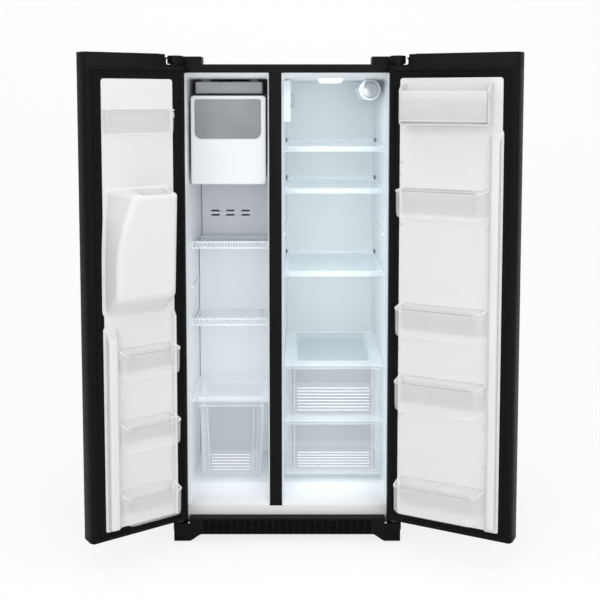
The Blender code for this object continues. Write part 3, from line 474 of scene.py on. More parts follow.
def back_slots(bm):
    """Louvres over the machine space, in two groups."""
    for side in (-1, 1):
        for row in range(7):
            for column in range(2):
                x = mid_x + side * (0.12 + 0.12 * column)
                z = back_z[0] + 0.06 + 0.022 * row
                outline = rounded((x - 0.045, x + 0.045), (z, z + 0.007), 0.0034)
                add_prism(bm, outline, along_y, (back_y[0] - 0.05, back_y[1] + 0.05))


panel_z = (back_z[0] + 0.30, back_z[1] - 0.08)
back = shaped(
    blocks((back_x, back_y, back_z)),
    cut=(
        skinned(
            slices(
                along_y,
                widen(back_x, -0.06),
                panel_z,
                0.02,
                (back_y[1] + 0.01, 0.0),
                (back_y[1], 0.0),
                (back_y[1] - 0.004, 0.004),
            )
        ),
        blocks(
            (
                widen(back_x, -0.004),
                (back_y[1] - 0.0012, back_y[1] + PAST),
                (back_z[0] + 0.260, back_z[0] + 0.2625),
            )
        ),
        back_slots,
    ),
)
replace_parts(link(back, "back_panel", "galvanised_steel", "case", 0.0006), "cabinet_back")


def screw(bm, x, y, z, toward=1):
    """A hexagon-headed screw standing along y."""
    add_prism(bm, circle(x, z, 0.0062, 24), along_y, (y, y + toward * 0.0012))
    add_prism(bm, circle(x, z, 0.0042, 6), along_y, (y + toward * 0.001, y + toward * 0.0042))


def back_screws(bm):
    for i in range(7):
        x = back_x[0] + 0.012 + i * (back_x[1] - back_x[0] - 0.024) / 6
        screw(bm, x, back_y[1] - 0.001, back_z[1] - 0.014)
        screw(bm, x, back_y[1] - 0.001, back_z[0] + 0.250)
    for i in range(1, 6):
        for x in (back_x[0] + 0.012, back_x[1] - 0.012):
            screw(bm, x, back_y[1] - 0.001, back_z[0] + 0.25 + i * (back_z[1] - back_z[0] - 0.26) / 6)


link(shaped(back_screws), "back_panel_screws", "hinge_steel", "case")

# Liners: the inner surface in rings from back to front, as (y, left, right, floor, ceiling, corner).
depth_ratio = (shell_y[1] - front_y) / 0.7147
floor_flat = spans("lower_crisper")[2][0] - 0.0378
hump = floor_flat + 0.135
evap_x, _, evap_z = spans("evaporator_cover")
ceiling = evap_z[1] + 0.003


def at_depth(y):
    return front_y + y * depth_ratio


def liner_rings(left, right, rim):
    def toward_rim(t):
        return left + (rim[0] - left) * t, right + (rim[1] - right) * t

    stations = (
        (0.620, left + 0.006, right - 0.006, hump + 0.006, ceiling - 0.006, 0.012),
        (0.612, left + 0.0015, right - 0.0015, hump + 0.0015, ceiling - 0.0015, 0.016),
        (0.600, left, right, hump, ceiling, 0.018),
        (0.482, left, right, hump, ceiling, 0.014),
        (0.472, left, right, hump - 0.003, ceiling, 0.014),
        (0.463, left, right, hump - 0.014, ceiling, 0.014),
        (0.437, left, right, floor_flat + 0.012, ceiling, 0.012),
        (0.430, left, right, floor_flat + 0.003, ceiling, 0.010),
        (0.420, left, right, floor_flat, ceiling, 0.010),
        (0.108, left, right, floor_flat, ceiling, 0.010),
        (0.096, left, right, floor_flat - 0.0022, ceiling + 0.0004, 0.010),
        (0.036, left, right, open_z[0] + 0.0175, ceiling + 0.002, 0.011),
        (0.026, *toward_rim(0.12), open_z[0] + 0.0125, ceiling + 0.004, 0.011),
        (0.014, *toward_rim(0.55), open_z[0] + 0.006, ceiling + 0.011, 0.011),
        (0.006, *toward_rim(0.9), open_z[0] + 0.0015, open_z[1] - 0.001, 0.010),
        (0.004, rim[0], rim[1], open_z[0], open_z[1], 0.010),
    )
    rings = []
    for grow in (WALL, 0.0):
        ring = []
        for index, (y, x0, x1, z0, z1, corner) in enumerate(stations):
            behind = grow if index < 2 else 0.0
            outline = rounded((x0 - grow, x1 + grow), (z0 - grow, z1 + grow), corner + grow)
            ring.append([along_y(a, b, at_depth(y) + behind) for a, b in outline])
        rings.append(ring)
    return rings


def side_rib(bm, wall, reach, y, top):
    """A low moulded ledge along a side wall, rounded at both ends."""
    outline = rounded(y, (top - 0.010, top), 0.0045)
    rings = [
        [along_x(a, b, wall + reach * out) for a, b in offset(outline, inset)]
        for out, inset in ((-0.0015, 0.0), (0.0045, 0.0), (0.0056, 0.0006), (0.006, 0.0018))
    ]
    skin(bm, rings)


def liner(node, left, right, rim, ribs, name):
    outer, inner = liner_rings(left, right, rim)

    def ledges(bm):
        for y, top in ribs:
            side_rib(bm, left, 1, y, top)
            side_rib(bm, right, -1, y, top)

    mesh = shaped(lambda bm: vessel(bm, outer, inner), joined=(ledges,))
    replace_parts(link(mesh, name, "cool_white_liner", "case", angle=40.0), node)


freezer_wall = (evap_x[0] - 0.002, evap_x[1] + 0.002)
rack_x = spans("fridge_shelf_1_frame")[0]
fridge_wall = (rack_x[0] - 0.0015, rack_x[1] + 0.0015)
rib_y = (at_depth(0.14), at_depth(0.50))
fridge_shelves = [spans(f"fridge_shelf_{i}_frame")[2] for i in (1, 2, 3)]
freezer_shelves = [spans(f"freezer_shelf_{i}")[2] for i in (1, 2)]
lid_x, lid_y, lid_z = spans("basket_cover")
ice_x, ice_y, ice_z = spans("ice_bin")
spare = (fridge_shelves[1][0] + fridge_shelves[2][0]) / 2 + 0.002
wire_y = (at_depth(0.14), at_depth(0.33))
freezer_ribs = [(wire_y, z[0] - GAP) for z in freezer_shelves]
freezer_ribs += [
    (wire_y, (freezer_shelves[0][0] + freezer_shelves[1][0]) / 2),
    ((at_depth(0.10), at_depth(0.42)), ice_z[0] - GAP),
    ((at_depth(0.14), at_depth(0.34)), lid_z[0] - GAP),
]
fridge_ribs = [(rib_y, z[0] - GAP) for z in fridge_shelves] + [(rib_y, spare)]
liner(
    "freezer_liner", *freezer_wall, (open_x[0], mullion_x[0]), freezer_ribs, "freezer_compartment"
)
liner("fridge_liner", *fridge_wall, (mullion_x[1], open_x[1]), fridge_ribs, "fridge_compartment")

# Front trims.
mullion = shaped(
    prisms(
        along_z,
        (
            [
                (mullion_x[0], front_y + 0.0008),
                (mullion_x[0] + 0.0012, front_y),
                (mullion_x[1] - 0.0012, front_y),
                (mullion_x[1], front_y + 0.0008),
                (mullion_x[1], front_y + 0.0037),
                (mullion_x[1] - 0.0040, front_y + 0.0037),
                (mullion_x[1] - 0.0040, mullion_y[1]),
                (mullion_x[0] + 0.0040, mullion_y[1]),
                (mullion_x[0] + 0.0040, front_y + 0.0037),
                (mullion_x[0], front_y + 0.0037),
            ],
            mullion_z,
        ),
    )
)
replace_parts(link(mullion, "mullion_trim", "black_plastic", "case", 0.0004), "mullion_cover")
sill = shaped(
    blocks((sill_x, (sill_y[0], sill_y[0] + 0.0037), sill_z)),
    joined=(blocks((sill_x, (sill_y[0] + 0.001, sill_y[1]), (sill_z[0], sill_z[0] + 0.003))),),
    cut=(
        blocks(
            (
                widen(sill_x, PAST),
                (sill_y[0] - PAST, sill_y[0] + 0.0006),
                (sill_z[1] - 0.0075, sill_z[1] - 0.0063),
            )
        ),
    ),
)
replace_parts(link(sill, "sill_strip", "sill_white", "case", 0.0006), "sill_trim")

# Toe grille with upright ribs between its louvres.
grille_x, grille_y, grille_z = spans("toe_grille")
leg_in, leg_root = grille_x[1] - mid_x - 0.057, grille_x[1] - mid_x - 0.100
foot_top, plate_back = grille_z[0] + 0.065, grille_y[0] + 0.005
outline = []
for side in (1, -1):
    edge = [
        (mid_x + side * leg_root, grille_z[0] + 0.025),
        (mid_x + side * (leg_root + 0.006), grille_z[0] + 0.0235),
        (mid_x + side * (leg_in - 0.008), grille_z[0] + 0.003),
        (mid_x + side * leg_in, grille_z[0]),
        (mid_x + side * (grille_x[1] - mid_x), grille_z[0]),
        (mid_x + side * (grille_x[1] - mid_x), foot_top),
        (mid_x + side * leg_in, foot_top),
        (mid_x + side * leg_in, grille_z[1]),
    ]
    outline += edge if side == 1 else edge[::-1]


def grille_slots(bm):
    rows, columns = 5, 24
    left, right = mid_x - leg_root + 0.006, mid_x + leg_root - 0.006
    step_x = (right - left + 0.005) / columns
    low, high = grille_z[0] + 0.030, grille_z[1] - 0.009
    step_z = (high - low + 0.0035) / rows
    for row in range(rows):
        for column in range(columns):
            x, z = left + column * step_x, low + row * step_z
            slot = rounded((x, x + step_x - 0.005), (z, z + step_z - 0.0035), 0.0022, 3)
            add_prism(bm, slot, along_y, (grille_y[0] - 0.01, plate_back + 0.002))


grille = shaped(
    prisms(along_y, (outline, (grille_y[0], plate_back))),
    joined=(
        blocks(
            (
                (mid_x - leg_in, mid_x + leg_in),
                (plate_back - 0.001, grille_y[1]),
                (grille_z[1] - 0.004, grille_z[1]),
            ),
            (
                (grille_x[0], grille_x[0] + 0.005),
                (plate_back - 0.001, grille_y[1]),
                (grille_z[0], foot_top),
            ),
            (
                (grille_x[1] - 0.005, grille_x[1]),
                (plate_back - 0.001, grille_y[1]),
                (grille_z[0], foot_top),
            ),
        ),
    ),
    cut=(grille_slots,),
)
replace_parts(link(grille, "toe_kick_grille", "black_plastic", "case", 0.0006, 2), "toe_grille")

# Hinges and their covers.
for word, side in (("left", -1), ("right", 1)):
    cover_x, cover_y, cover_z = spans(f"{word}_hinge_cover")
    low_x, low_y, low_z = spans(f"{word}_bottom_hinge")
    px = (low_x[0] + low_x[1]) / 2
    pivot_y = low_y[0] + 0.018
    inner = cover_x[1] if side < 0 else cover_x[0]
    nose = 0.0275
    back_edge = front_y + 0.002
    corner_x = mid_x + side * (shell_x[1] - mid_x - 0.006)
    points = [
        (px + side * nose * cos(turn), pivot_y - nose * sin(turn)) for turn in arc(0, 180, 12)
    ]
    points += [
        (px - side * nose, back_edge),
        (inner, back_edge),
        (inner, cover_y[1]),
        (corner_x, cover_y[1]),
        (corner_x, back_edge + 0.006),
        (px + side * nose, back_edge - 0.004),
    ]
    if side > 0:
        points = points[::-1]

    def cover_form(shrink, floor, top, edge):
        rings = []
        for level, inset in [(floor, 0.0)] + [
            (top - edge + edge * sin(turn), edge * (1 - cos(turn))) for turn in arc(0, 90, 4)
        ]:
            rings.append([(a, b, level) for a, b in eased(offset(points, shrink + inset), 0.004, 3)])
        return skinned(rings)

    cover = shaped(
        cover_form(0.0, cover_z[0], cover_z[1], 0.004),
        cut=(cover_form(0.0025, cover_z[0] - 0.02, cover_z[1] - 0.003, 0.002),),
    )
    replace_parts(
        link(cover, f"{word}_hinge_cap", "black_plastic", "case", angle=30.0),
        f"{word}_hinge_cover",
    )

    plate = shaped(
        prisms(along_z, (circle(px, pivot_y, 0.018, 40), (low_z[0] + 0.0175, low_z[0] + 0.0235))),
        joined=(
            blocks(
                ((px - 0.018, px + 0.018), (pivot_y, low_y[1]), (low_z[0] + 0.0175, low_z[0] + 0.0235)),
                ((px - 0.018, px + 0.018), (low_y[1] - 0.0042, low_y[1]), (low_z[0], low_z[0] + 0.0220)),
            ),
            prisms(along_z, (circle(px, pivot_y, 0.011, 32), (low_z[0] + 0.02, low_z[1] - 0.0203))),
            prisms(along_z, (circle(px, pivot_y, 0.006, 24), (low_z[0] + 0.02, low_z[1]))),
        ),
    )
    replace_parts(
        link(plate, f"{word}_lower_hinge", "hinge_steel", "case", 0.0008, 2),
        f"{word}_bottom_hinge",
    )


def turned(place, centre, stations, sides=40):
    """A filling function for a turned form: stations are (radius, level) along its axis."""
    return skinned([[place(a, b, level) for a, b in circle(*centre, r, sides)] for r, level in stations])


for word in ("left", "right"):
    x, y, z = spans(f"{word}_leveling_leg")
    cx, cy = (x[0] + x[1]) / 2, (y[0] + y[1]) / 2
    thread = []
    for i in range(46):
        level = z[0] + 0.026 + i * 0.0015
        thread.append((0.0058 if i % 2 else 0.0052, level))
    leg = shaped(
        turned(
            along_z,
            (cx, cy),
            [
                (0.0145, z[0]),
                (0.0165, z[0] + 0.002),
                (0.017, z[0] + 0.004),
                (0.016, z[0] + 0.009),
                (0.012, z[0] + 0.0115),
                (0.0065, z[0] + 0.013),
                (0.0055, z[0] + 0.0135),
                *thread,
                (0.0045, z[1]),
            ],
        ),
        joined=(prisms(along_z, (circle(cx, cy, 0.011, 6), (z[0] + 0.0145, z[0] + 0.024))),),
    )
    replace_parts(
        link(leg, f"{word}_screw_leg", "black_plastic", f"{word}_leveling_leg"),
        f"{word}_leveling_leg",
    )
    x, y, z = spans(f"{word}_rear_roller")
    cx, cy, cz = (x[0] + x[1]) / 2, (y[0] + y[1]) / 2, (z[0] + z[1]) / 2
    r = (z[1] - z[0]) / 2
    section = [
        (0.004, 0.0130),
        (0.009, 0.0132),
        (0.010, 0.0105),
        (r - 0.006, 0.0100),
        (r - 0.005, 0.0132),
        (r - 0.001, 0.0120),
        (r, 0.0095),
    ]
    wheel = shaped(
        turned(
            along_x,
            (cy, cz),
            [(0.004, x[0])]
            + [(radius, cx - out) for radius, out in section]
            + [(radius, cx + out) for radius, out in section[::-1]]
            + [(0.004, x[1])],
            48,
        )
    )
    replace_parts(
        link(wheel, f"{word}_roller_wheel", "black_plastic", f"{word}_rear_roller"),
        f"{word}_rear_roller",
    )


# ---------------------------------------------------------------- doors
class Door:
    """Door space: u from the hinge axis to the free edge, v into the compartment, z up."""

    def __init__(self, body, side, joint_name):
        joint = next(j for j in frame["joints"] if j["name"] == joint_name)
        turn = Matrix.Rotation(radians(-joint["range_deg"][0]), 4, Vector(joint["axis"]))
        self.matrix = Matrix.Translation((joint["pos_m"][0], joint["pos_m"][1], 0.0)) @ turn
        self.body, self.side = body, side
        self.inverse = self.matrix.inverted()
        self.u, self.v, self.z = self.spans(f"{body}_pan")

    def spans(self, node):
        points = [self.inverse @ vert.co for vert in frame["nodes"][node].data.vertices]
        u = sorted(self.side * limit(p.x for p in points) for limit in (min, max))
        v = [limit(p.y for p in points) for limit in (min, max)]
        z = [limit(p.z for p in points) for limit in (min, max)]
        return tuple(u), tuple(v), tuple(z)

    def facing(self, a, b, c):
        """An outline in (u, z) at level v."""
        return (self.side * a, c, b)

    def upright(self, a, b, c):
        """An outline in (u, v) at height z."""
        return (self.side * a, b, c)

    def sideways(self, a, b, c):
        """An outline in (v, z) at distance u."""
        return (self.side * c, a, b)

    def blocks(self, *limits):
        return blocks(*(([self.side * a for a in u], v, z) for u, v, z in limits))

    def put(self, mesh, name, material, body=None, node=None, **more):
        mesh.transform(self.matrix)
        obj = link(mesh, name, material, body or self.body, **more)
        for replaced in [node] if isinstance(node, str) else node or []:
            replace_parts(obj, replaced)
        return obj


freezer = Door("freezer_door", 1, "freezer_door_hinge")
fridge = Door("fridge_door", -1, "fridge_door_hinge")
TAPER, SHEET = 0.015, 0.004


def pan(door, openings=()):
    (u0, u1), (v0, v1), (z0, z1) = door.u, door.v, door.z
    outline = [p for p in rounded((u0, u1), (v0, v0 + 0.05), (0, 0, 0.020, 0.011), 8) if p[1] < v0 + 0.03]
    outline += [
        (u1 - TAPER * 0.30, v1 - 0.014),
        (u1 - TAPER * 0.55, v1 - 0.007),
        (u1 - TAPER * 0.85, v1 - 0.0012),
        (u1 - TAPER, v1),
        (u0 + TAPER, v1),
        (u0 + TAPER * 0.85, v1 - 0.0012),
        (u0 + TAPER * 0.55, v1 - 0.007),
        (u0 + TAPER * 0.30, v1 - 0.014),
    ]
    seam_z, corner_z = z1 - 0.050, z1 - 0.037
    bores = prisms(
        door.upright,
        (circle(0, 0, 0.0063, 24), (corner_z - 0.024, z1 + PAST)),
        (circle(0, 0, 0.0063, 24), (z0 - PAST, z0 + 0.023)),
    )
    foot = prisms(door.upright, (outline, (z0, z0 + 0.016)))
    skin_mesh = shaped(
        prisms(door.upright, (outline, (z0 + 0.0164, seam_z - 0.0003))), cut=(bores, *openings)
    )
    door.put(skin_mesh, f"{door.body}_skin", "black_enamel", node=f"{door.body}_pan", soften=0.0007)
    door.put(shaped(foot, cut=(bores,)), f"{door.body}_bottom_cap", "black_plastic", soften=0.0008)
    top = shaped(
        prisms(door.upright, (outline, (seam_z, z1))),
        cut=(
            door.blocks(((u0 - PAST, 0.045), (v0 - PAST, v1 + PAST), (corner_z, z1 + PAST))),
            door.blocks(((u0 - PAST, 0.074), (v1 - 0.020, v1 + PAST), (z1 - 0.012, z1 + PAST))),
            door.blocks(((0.040, 0.063), (v1 - 0.010, v1 + PAST), (corner_z + 0.002, z1 - 0.018))),
            door.blocks(((0.1055, 0.1063), (v1 - 0.0008, v1 + PAST), (seam_z - PAST, z1 + PAST))),
            bores,
        ),
    )
    door.put(top, f"{door.body}_top_cap", "black_plastic", soften=0.0008)


def gasket(door, liner_node):
    """A magnetic gasket: a flat skirt, a folded bellows and a rounded magnet bead."""
    liner_u, _, liner_z = door.spans(liner_node)
    outer_u, (v0, v1), outer_z = door.spans(f"{door.body}_gasket")
    width = min(liner_u[0] - outer_u[0], outer_u[1] - liner_u[1]) - GAP
    flat = v0 + 0.0028

    def outline_at(inset):
        t = inset / width
        u = (
            outer_u[0] + (liner_u[0] - GAP - outer_u[0]) * t,
            outer_u[1] + (liner_u[1] + GAP - outer_u[1]) * t,
        )
        z = (
            outer_z[0] + (liner_z[0] - GAP - outer_z[0]) * t,
            outer_z[1] + (liner_z[1] + GAP - outer_z[1]) * t,
        )
        return rounded(u, z, max(0.002, 0.008 - 0.004 * t), 4)

    profile = [(0.0, v0), (0.0, v0 + 0.0015), (0.001, flat), (0.0025, flat + 0.0002)]
    profile += [
        (0.0090 - 0.0055 * cos(turn), v1 - 0.0030 + 0.0030 * sin(turn)) for turn in arc(0, 180, 8)
    ]
    profile += [(0.0155, flat + 0.0004), (0.0175, flat), (0.0190, flat + 0.0016), (0.0215, flat + 0.0024)]
    profile += [
        (0.0240, flat + 0.0016),
        (0.0252, flat),
        (width - 0.003, flat),
        (width - 0.001, flat - 0.0008),
        (width, flat - 0.0020),
        (width, v0),
    ]
    mesh = shaped(band(profile, outline_at, door.facing))
    door.put(mesh, f"{door.body}_seal", "black_rubber", node=f"{door.body}_gasket", angle=50.0)


def handle(door):
    """A flattened upright bar on two feet."""
    (u0, u1), (v0, v1), (z0, z1) = door.spans(f"{door.body}_handle")
    middle, half_width = (u0 + u1) / 2, 0.0088
    low, high, bend = z0 + 0.020, z1 - 0.020, 0.026
    centre_v = v0 + 0.009 + bend
    path = [(v1 - 0.010, low, 0.0)]
    for centre_z, start in ((low + bend, 0), (high - bend, 90)):
        for step in range(9):
            turn = radians(start + 90 * step / 8)
            path.append((centre_v - bend * sin(turn), centre_z - bend * cos(turn), turn))
        if start == 0:
            for t in (0.25, 0.5, 0.75):
                path.append((centre_v - bend, centre_z + (high - low - 2 * bend) * t, radians(90)))
    path.append((v1 - 0.010, high, radians(180)))
    section = rounded((-0.0078, 0.0078), (-half_width, half_width), 0.0065, 5)
    rings = [
        [(door.side * (middle + b), v + a * sin(turn), z + a * cos(turn)) for a, b in section]
        for v, z, turn in path
    ]
    feet = []
    for level in (low, high):
        draws = ((v1, 0.0), (v1 - 0.004, 0.0), (v1 - 0.009, 0.0008), (v1 - 0.013, 0.003))
        foot_z = (level - 0.020, level + 0.020)
        feet.append(skinned(slices(door.facing, (u0, u1), foot_z, 0.0075, *draws)))
    mesh = shaped(skinned(rings), joined=feet)
    door.put(mesh, f"{door.body}_pull", "black_enamel", node=f"{door.body}_handle", angle=40.0)


def bin_outline(near, far, base, front, corner):
    return eased(
        [(base[0], near), (base[1], near), (front[1], far), (front[0], far)],
        [0.004, 0.004, corner, corner],
        5,
    )


def door_bin(door, node, base, front, chamfer=0.0, rise=0.0):
    """A clear bin: rounded floor edge, a rolled rim, and end clips on the liner."""
    _, (near, far), (z0, z1) = door.spans(node)
    far -= 0.0006
    rim, wall = z1 - rise, 0.0024
    levels = [
        (z0, 0.010 + chamfer),
        (z0 + 0.0012, 0.0062 + chamfer * 0.8),
        (z0 + 0.004, 0.0036 + chamfer * 0.55),
        (z0 + 0.009, 0.0022 + chamfer * 0.3),
    ]
    levels += [
        (z0 + 0.018, 0.0014),
        (rim - 0.007, 0.0006),
        (rim - 0.0062, -0.0006),
        (rim - 0.0008, -0.0006),
        (rim, 0.0),
    ]
    outer, inner = [], []
    for level, draw in levels:
        outline = bin_outline(
            near + max(draw, 0) * 0.5,
            far - draw,
            (base[0] + draw * 0.3, base[1] - draw * 0.3),
            (front[0] + draw, front[1] - draw),
            0.016,
        )
        outer.append([door.upright(a, b, level) for a, b in outline])
    inner_levels = [
        (z0 + wall, 0.012 + chamfer),
        (z0 + wall + 0.0015, 0.0078 + chamfer * 0.8),
        (z0 + wall + 0.005, 0.0048 + chamfer * 0.5),
    ]
    inner_levels += [(z0 + 0.018, 0.0038), (rim - 0.004, 0.0028), (rim, 0.0020)]
    for level, draw in inner_levels:
        outline = bin_outline(
            near + draw * 0.7,
            far - draw,
            (base[0] + draw * 0.7, base[1] - draw * 0.7),
            (front[0] + draw, front[1] - draw),
            0.014,
        )
        inner.append([door.upright(a, b, level) for a, b in outline])
    mesh = shaped(lambda bm: vessel(bm, outer, inner))
    name = f"{node}_body"
    door.put(mesh, name, "bin_plastic", node=node, angle=50.0)

    # The rolled rim catches the light, so it is a denser piece of the same bin.
    def rim_at(inset):
        return bin_outline(
            near + 0.0008 + inset,
            far + 0.0004 - inset,
            (base[0] + inset, base[1] - inset),
            (front[0] - 0.0004 + inset, front[1] + 0.0004 - inset),
            0.016,
        )

    ring = [
        (-0.0004, rim - 0.0052),
        (-0.0008, rim - 0.0030),
        (-0.0004, rim + 0.0004),
        (0.0014, rim + 0.0008),
        (0.0030, rim + 0.0002),
        (0.0032, rim - 0.0045),
    ]
    parts = [shaped(band(ring, rim_at, door.upright))]
    door.put(parts[0], f"{node}_rim", "bin_edge", angle=50.0)
    if rise:
        lip = shaped(
            skinned(
                [
                    [
                        door.sideways(a, b, u)
                        for a, b in rounded((far - 0.0022, far), (rim - 0.004, z1 - draw), 0.0008, 2)
                    ]
                    for u, draw in (
                        (front[0] + 0.010, rise),
                        (front[0] + 0.016, rise * 0.35),
                        (front[0] + 0.026, 0.0),
                        (front[1] - 0.026, 0.0),
                        (front[1] - 0.016, rise * 0.35),
                        (front[1] - 0.010, rise),
                    )
                ]
            )
        )
        door.put(lip, f"{node}_lip", "bin_plastic", angle=50.0)
    clips = [
        ((u - 0.005, u + 0.005), (near + 0.014, near + 0.030), (rim - 0.028, rim - 0.012))
        for u in ((base[0] + front[0]) / 2 + 0.001, (base[1] + front[1]) / 2 - 0.003)
    ]
    return clips


# Openings in the liners and the pans come from the dispenser's place.
bezel_u, bezel_v, bezel_z = freezer.spans("dispenser_bezel")
paddle_u, paddle_v, paddle_z = freezer.spans("dispenser_paddle")
paddle_mid = (paddle_u[0] + paddle_u[1]) / 2
cup_u = (paddle_mid - 0.087, paddle_mid + 0.087)
cup_z = (bezel_z[0] + 0.020, bezel_z[0] + 0.290)
pan(
    freezer,
    (
        freezer.blocks(
            (widen(cup_u, 0.0005), (freezer.v[0] - PAST, freezer.v[1] + PAST), widen(cup_z, 0.0005))
        ),
    ),
)
pan(fridge)
gasket(freezer, "freezer_door_liner")
gasket(fridge, "fridge_door_liner")
handle(freezer)
handle(fridge)


def liner_plate(door, u, v, z):
    """The liner's flat sheet, with an edge that rolls back to the door."""
    draws = ((v[0], 0.0), (v[0] + 0.0015, 0.0), (v[0] + 0.0032, 0.0008), (v[0] + SHEET, 0.0030))
    return skinned(slices(door.facing, u, z, 0.010, *draws))


def raised(door, base, front, low, high, corner, flare=0.006, edge=0.010):
    rings = swell(base, front, low, high, corner, flare, edge)
    return skinned([[door.facing(a, b, level) for a, b in outline] for level, outline in rings])


def rectangle(u, z):
    return [(u[0], z[0]), (u[1], z[0]), (u[1], z[1]), (u[0], z[1])]


# Freezer door liner: flat sheet, dispenser housing with its chute, a dyke and an edge strip.
liner_u, liner_v, liner_z = freezer.spans("freezer_door_liner")
seat = liner_v[0] + SHEET - 0.0006
swell_high = liner_v[1]
bin1_u = freezer.spans("freezer_bin_1")[0]
chute_top = liner_z[0] + 1.171
base = [
    (liner_u[0] + 0.033, liner_z[0] + 0.744),
    (liner_u[1] - 0.001, liner_z[0] + 0.744),
    (liner_u[1] - 0.002, liner_z[0] + 0.959),
    (liner_u[1] - 0.006, liner_z[0] + 1.045),
    (liner_u[1] - 0.012, chute_top),
    (liner_u[0] + 0.021, chute_top),
]
front = [
    (liner_u[0] + 0.037, liner_z[0] + 0.810),
    (liner_u[1] - 0.010, liner_z[0] + 0.810),
    (liner_u[1] - 0.012, liner_z[0] + 0.959),
    (liner_u[1] - 0.030, liner_z[0] + 1.040),
    (liner_u[1] - 0.077, chute_top - 0.014),
    (liner_u[0] + 0.027, chute_top - 0.014),
]
housing = raised(
    freezer,
    base,
    front,
    seat,
    swell_high,
    [0.02, 0.03, 0.06, 0.05, 0.016, 0.012],
    0.008,
    0.016,
)
chute_rings = []
for level, t in (
    (seat + 0.012, 0.0),
    (seat + 0.016, 0.1),
    (swell_high - 0.013, 0.9),
    (swell_high - 0.009, 1.0),
):
    trim = 0.0 if 0 < t < 1 else 0.004
    low_u, high_u = liner_u[0] + 0.041, liner_u[1] - 0.090
    outline = [
        (low_u + 0.012 + trim, chute_top - 0.050),
        (high_u - 0.016 - trim, chute_top - 0.050),
        (high_u + (1 - t) * 0.006 - trim, chute_top + 0.05),
        (low_u - 0.006 + trim, chute_top + 0.05),
    ]
    chute_rings.append([freezer.facing(a, b, level) for a, b in eased(outline, 0.016, 4)])
cup_depth = freezer.spans("dispenser_bezel")[1][1]


def cup_outline(draw, radius):
    """The recess seen from the front, with the corner cut off where the liner's housing narrows."""
    (a0, a1), (b0, b1) = widen(cup_u, -draw), widen(cup_z, -draw)
    return eased([(a0, b0), (a1, b0), (a1, b1 - 0.050), (a1 - 0.026, b1), (a0, b1)], radius, 4)


pocket = prisms(freezer.facing, (cup_outline(-0.001, 0.012), (freezer.v[0], cup_depth + 0.001)))
dyke_top = liner_z[0] + 0.699
dyke = raised(
    freezer,
    rectangle((liner_u[1] - 0.042, liner_u[1] - 0.001), (liner_z[0] + 0.001, dyke_top)),
    rectangle((liner_u[1] - 0.036, liner_u[1] - 0.006), (liner_z[0] + 0.009, dyke_top - 0.034)),
    seat,
    0.074,
    0.008,
    0.006,
    0.008,
)
strip = raised(
    freezer,
    rectangle((liner_u[0] + 0.001, liner_u[0] + 0.0125), (liner_z[0] + 0.001, liner_z[0] + 0.739)),
    rectangle((liner_u[0] + 0.002, liner_u[0] + 0.0110), (liner_z[0] + 0.009, liner_z[0] + 0.719)),
    seat,
    0.062,
    0.003,
    0.0,
    0.003,
)
mesh = shaped(
    liner_plate(
        freezer,
        liner_u,
        liner_v,
        liner_z,
    ), joined=(housing, dyke, strip), cut=(skinned(chute_rings), pocket)
)
freezer.put(mesh, "freezer_door_inner_liner", "warm_white_liner", node="freezer_door_liner", angle=38.0)

clips = []
clips += door_bin(
    freezer,
    "freezer_bin_1",
    (bin1_u[0], bin1_u[1]),
    (bin1_u[0] + 0.002, bin1_u[1] - 0.005),
    rise=0.011,
)
for number in (2, 3, 4):
    u = freezer.spans(f"freezer_bin_{number}")[0]
    clips += door_bin(freezer, f"freezer_bin_{number}", u, (u[0] + 0.0025, u[1] - 0.003), rise=0.010)
freezer.put(shaped(freezer.blocks(*clips)), "freezer_bin_clips", "bin_edge", soften=0.0015)

# Dispenser: a bezel with a control panel, its recess, spouts, a drip tray and the paddle.
face_v = bezel_v[0]
(u0, u1), (z0, z1) = bezel_u, bezel_z
draws = ((freezer.v[0] - GAP, 0.0), (face_v + 0.0025, 0.0), (face_v + 0.0008, 0.0009), (face_v, 0.0030))
plate_rings = slices(freezer.facing, bezel_u, bezel_z, 0.014, *draws)
cup_solid = prisms(freezer.facing, (cup_outline(0.0, 0.012), (freezer.v[0] - 0.002, cup_depth)))
cup_hollow = [
    [freezer.facing(a, b, v) for a, b in cup_outline(draw, radius)]
    for v, draw, radius in (
        (face_v - 0.01, 0.0016, 0.013),
        (face_v + 0.0004, 0.0016, 0.013),
        (face_v + 0.0020, 0.0030, 0.012),
        (cup_depth - 0.014, 0.0046, 0.014),
        (cup_depth - 0.006, 0.0070, 0.016),
        (cup_depth - WALL, 0.0140, 0.018),
    )
]
panel_z = (cup_z[1] + 0.030, z1 - 0.012)
panel_u = widen(bezel_u, -0.012)
lugs = freezer.blocks(
    *(
        (
            (u, u + 0.005),
            ((paddle_v[0] + 0.002), paddle_v[0] + 0.014),
            (paddle_z[1] - 0.014, cup_z[1] - WALL + 0.001),
        )
        for u in (paddle_u[0] - 0.0005, paddle_u[1] - 0.0045)
    )
)
bezel = shaped(
    skinned(plate_rings),
    joined=(cup_solid,),
    cut=(
        skinned(cup_hollow),
        prisms(freezer.facing, (rounded(panel_u, panel_z, 0.008), (face_v - PAST, face_v + 0.0012))),
    ),
)
freezer.put(bezel, "dispenser_surround", "black_plastic", node="dispenser_bezel", angle=35.0)
draws = ((face_v + 0.0011, 0.0), (face_v + 0.0006, 0.0), (face_v + 0.0002, 0.0005))
glass_panel = slices(freezer.facing, widen(panel_u, -0.0006), widen(panel_z, -0.0006), 0.0075, *draws)
freezer.put(shaped(skinned(glass_panel)), "dispenser_control_panel", "black_gloss", angle=35.0)


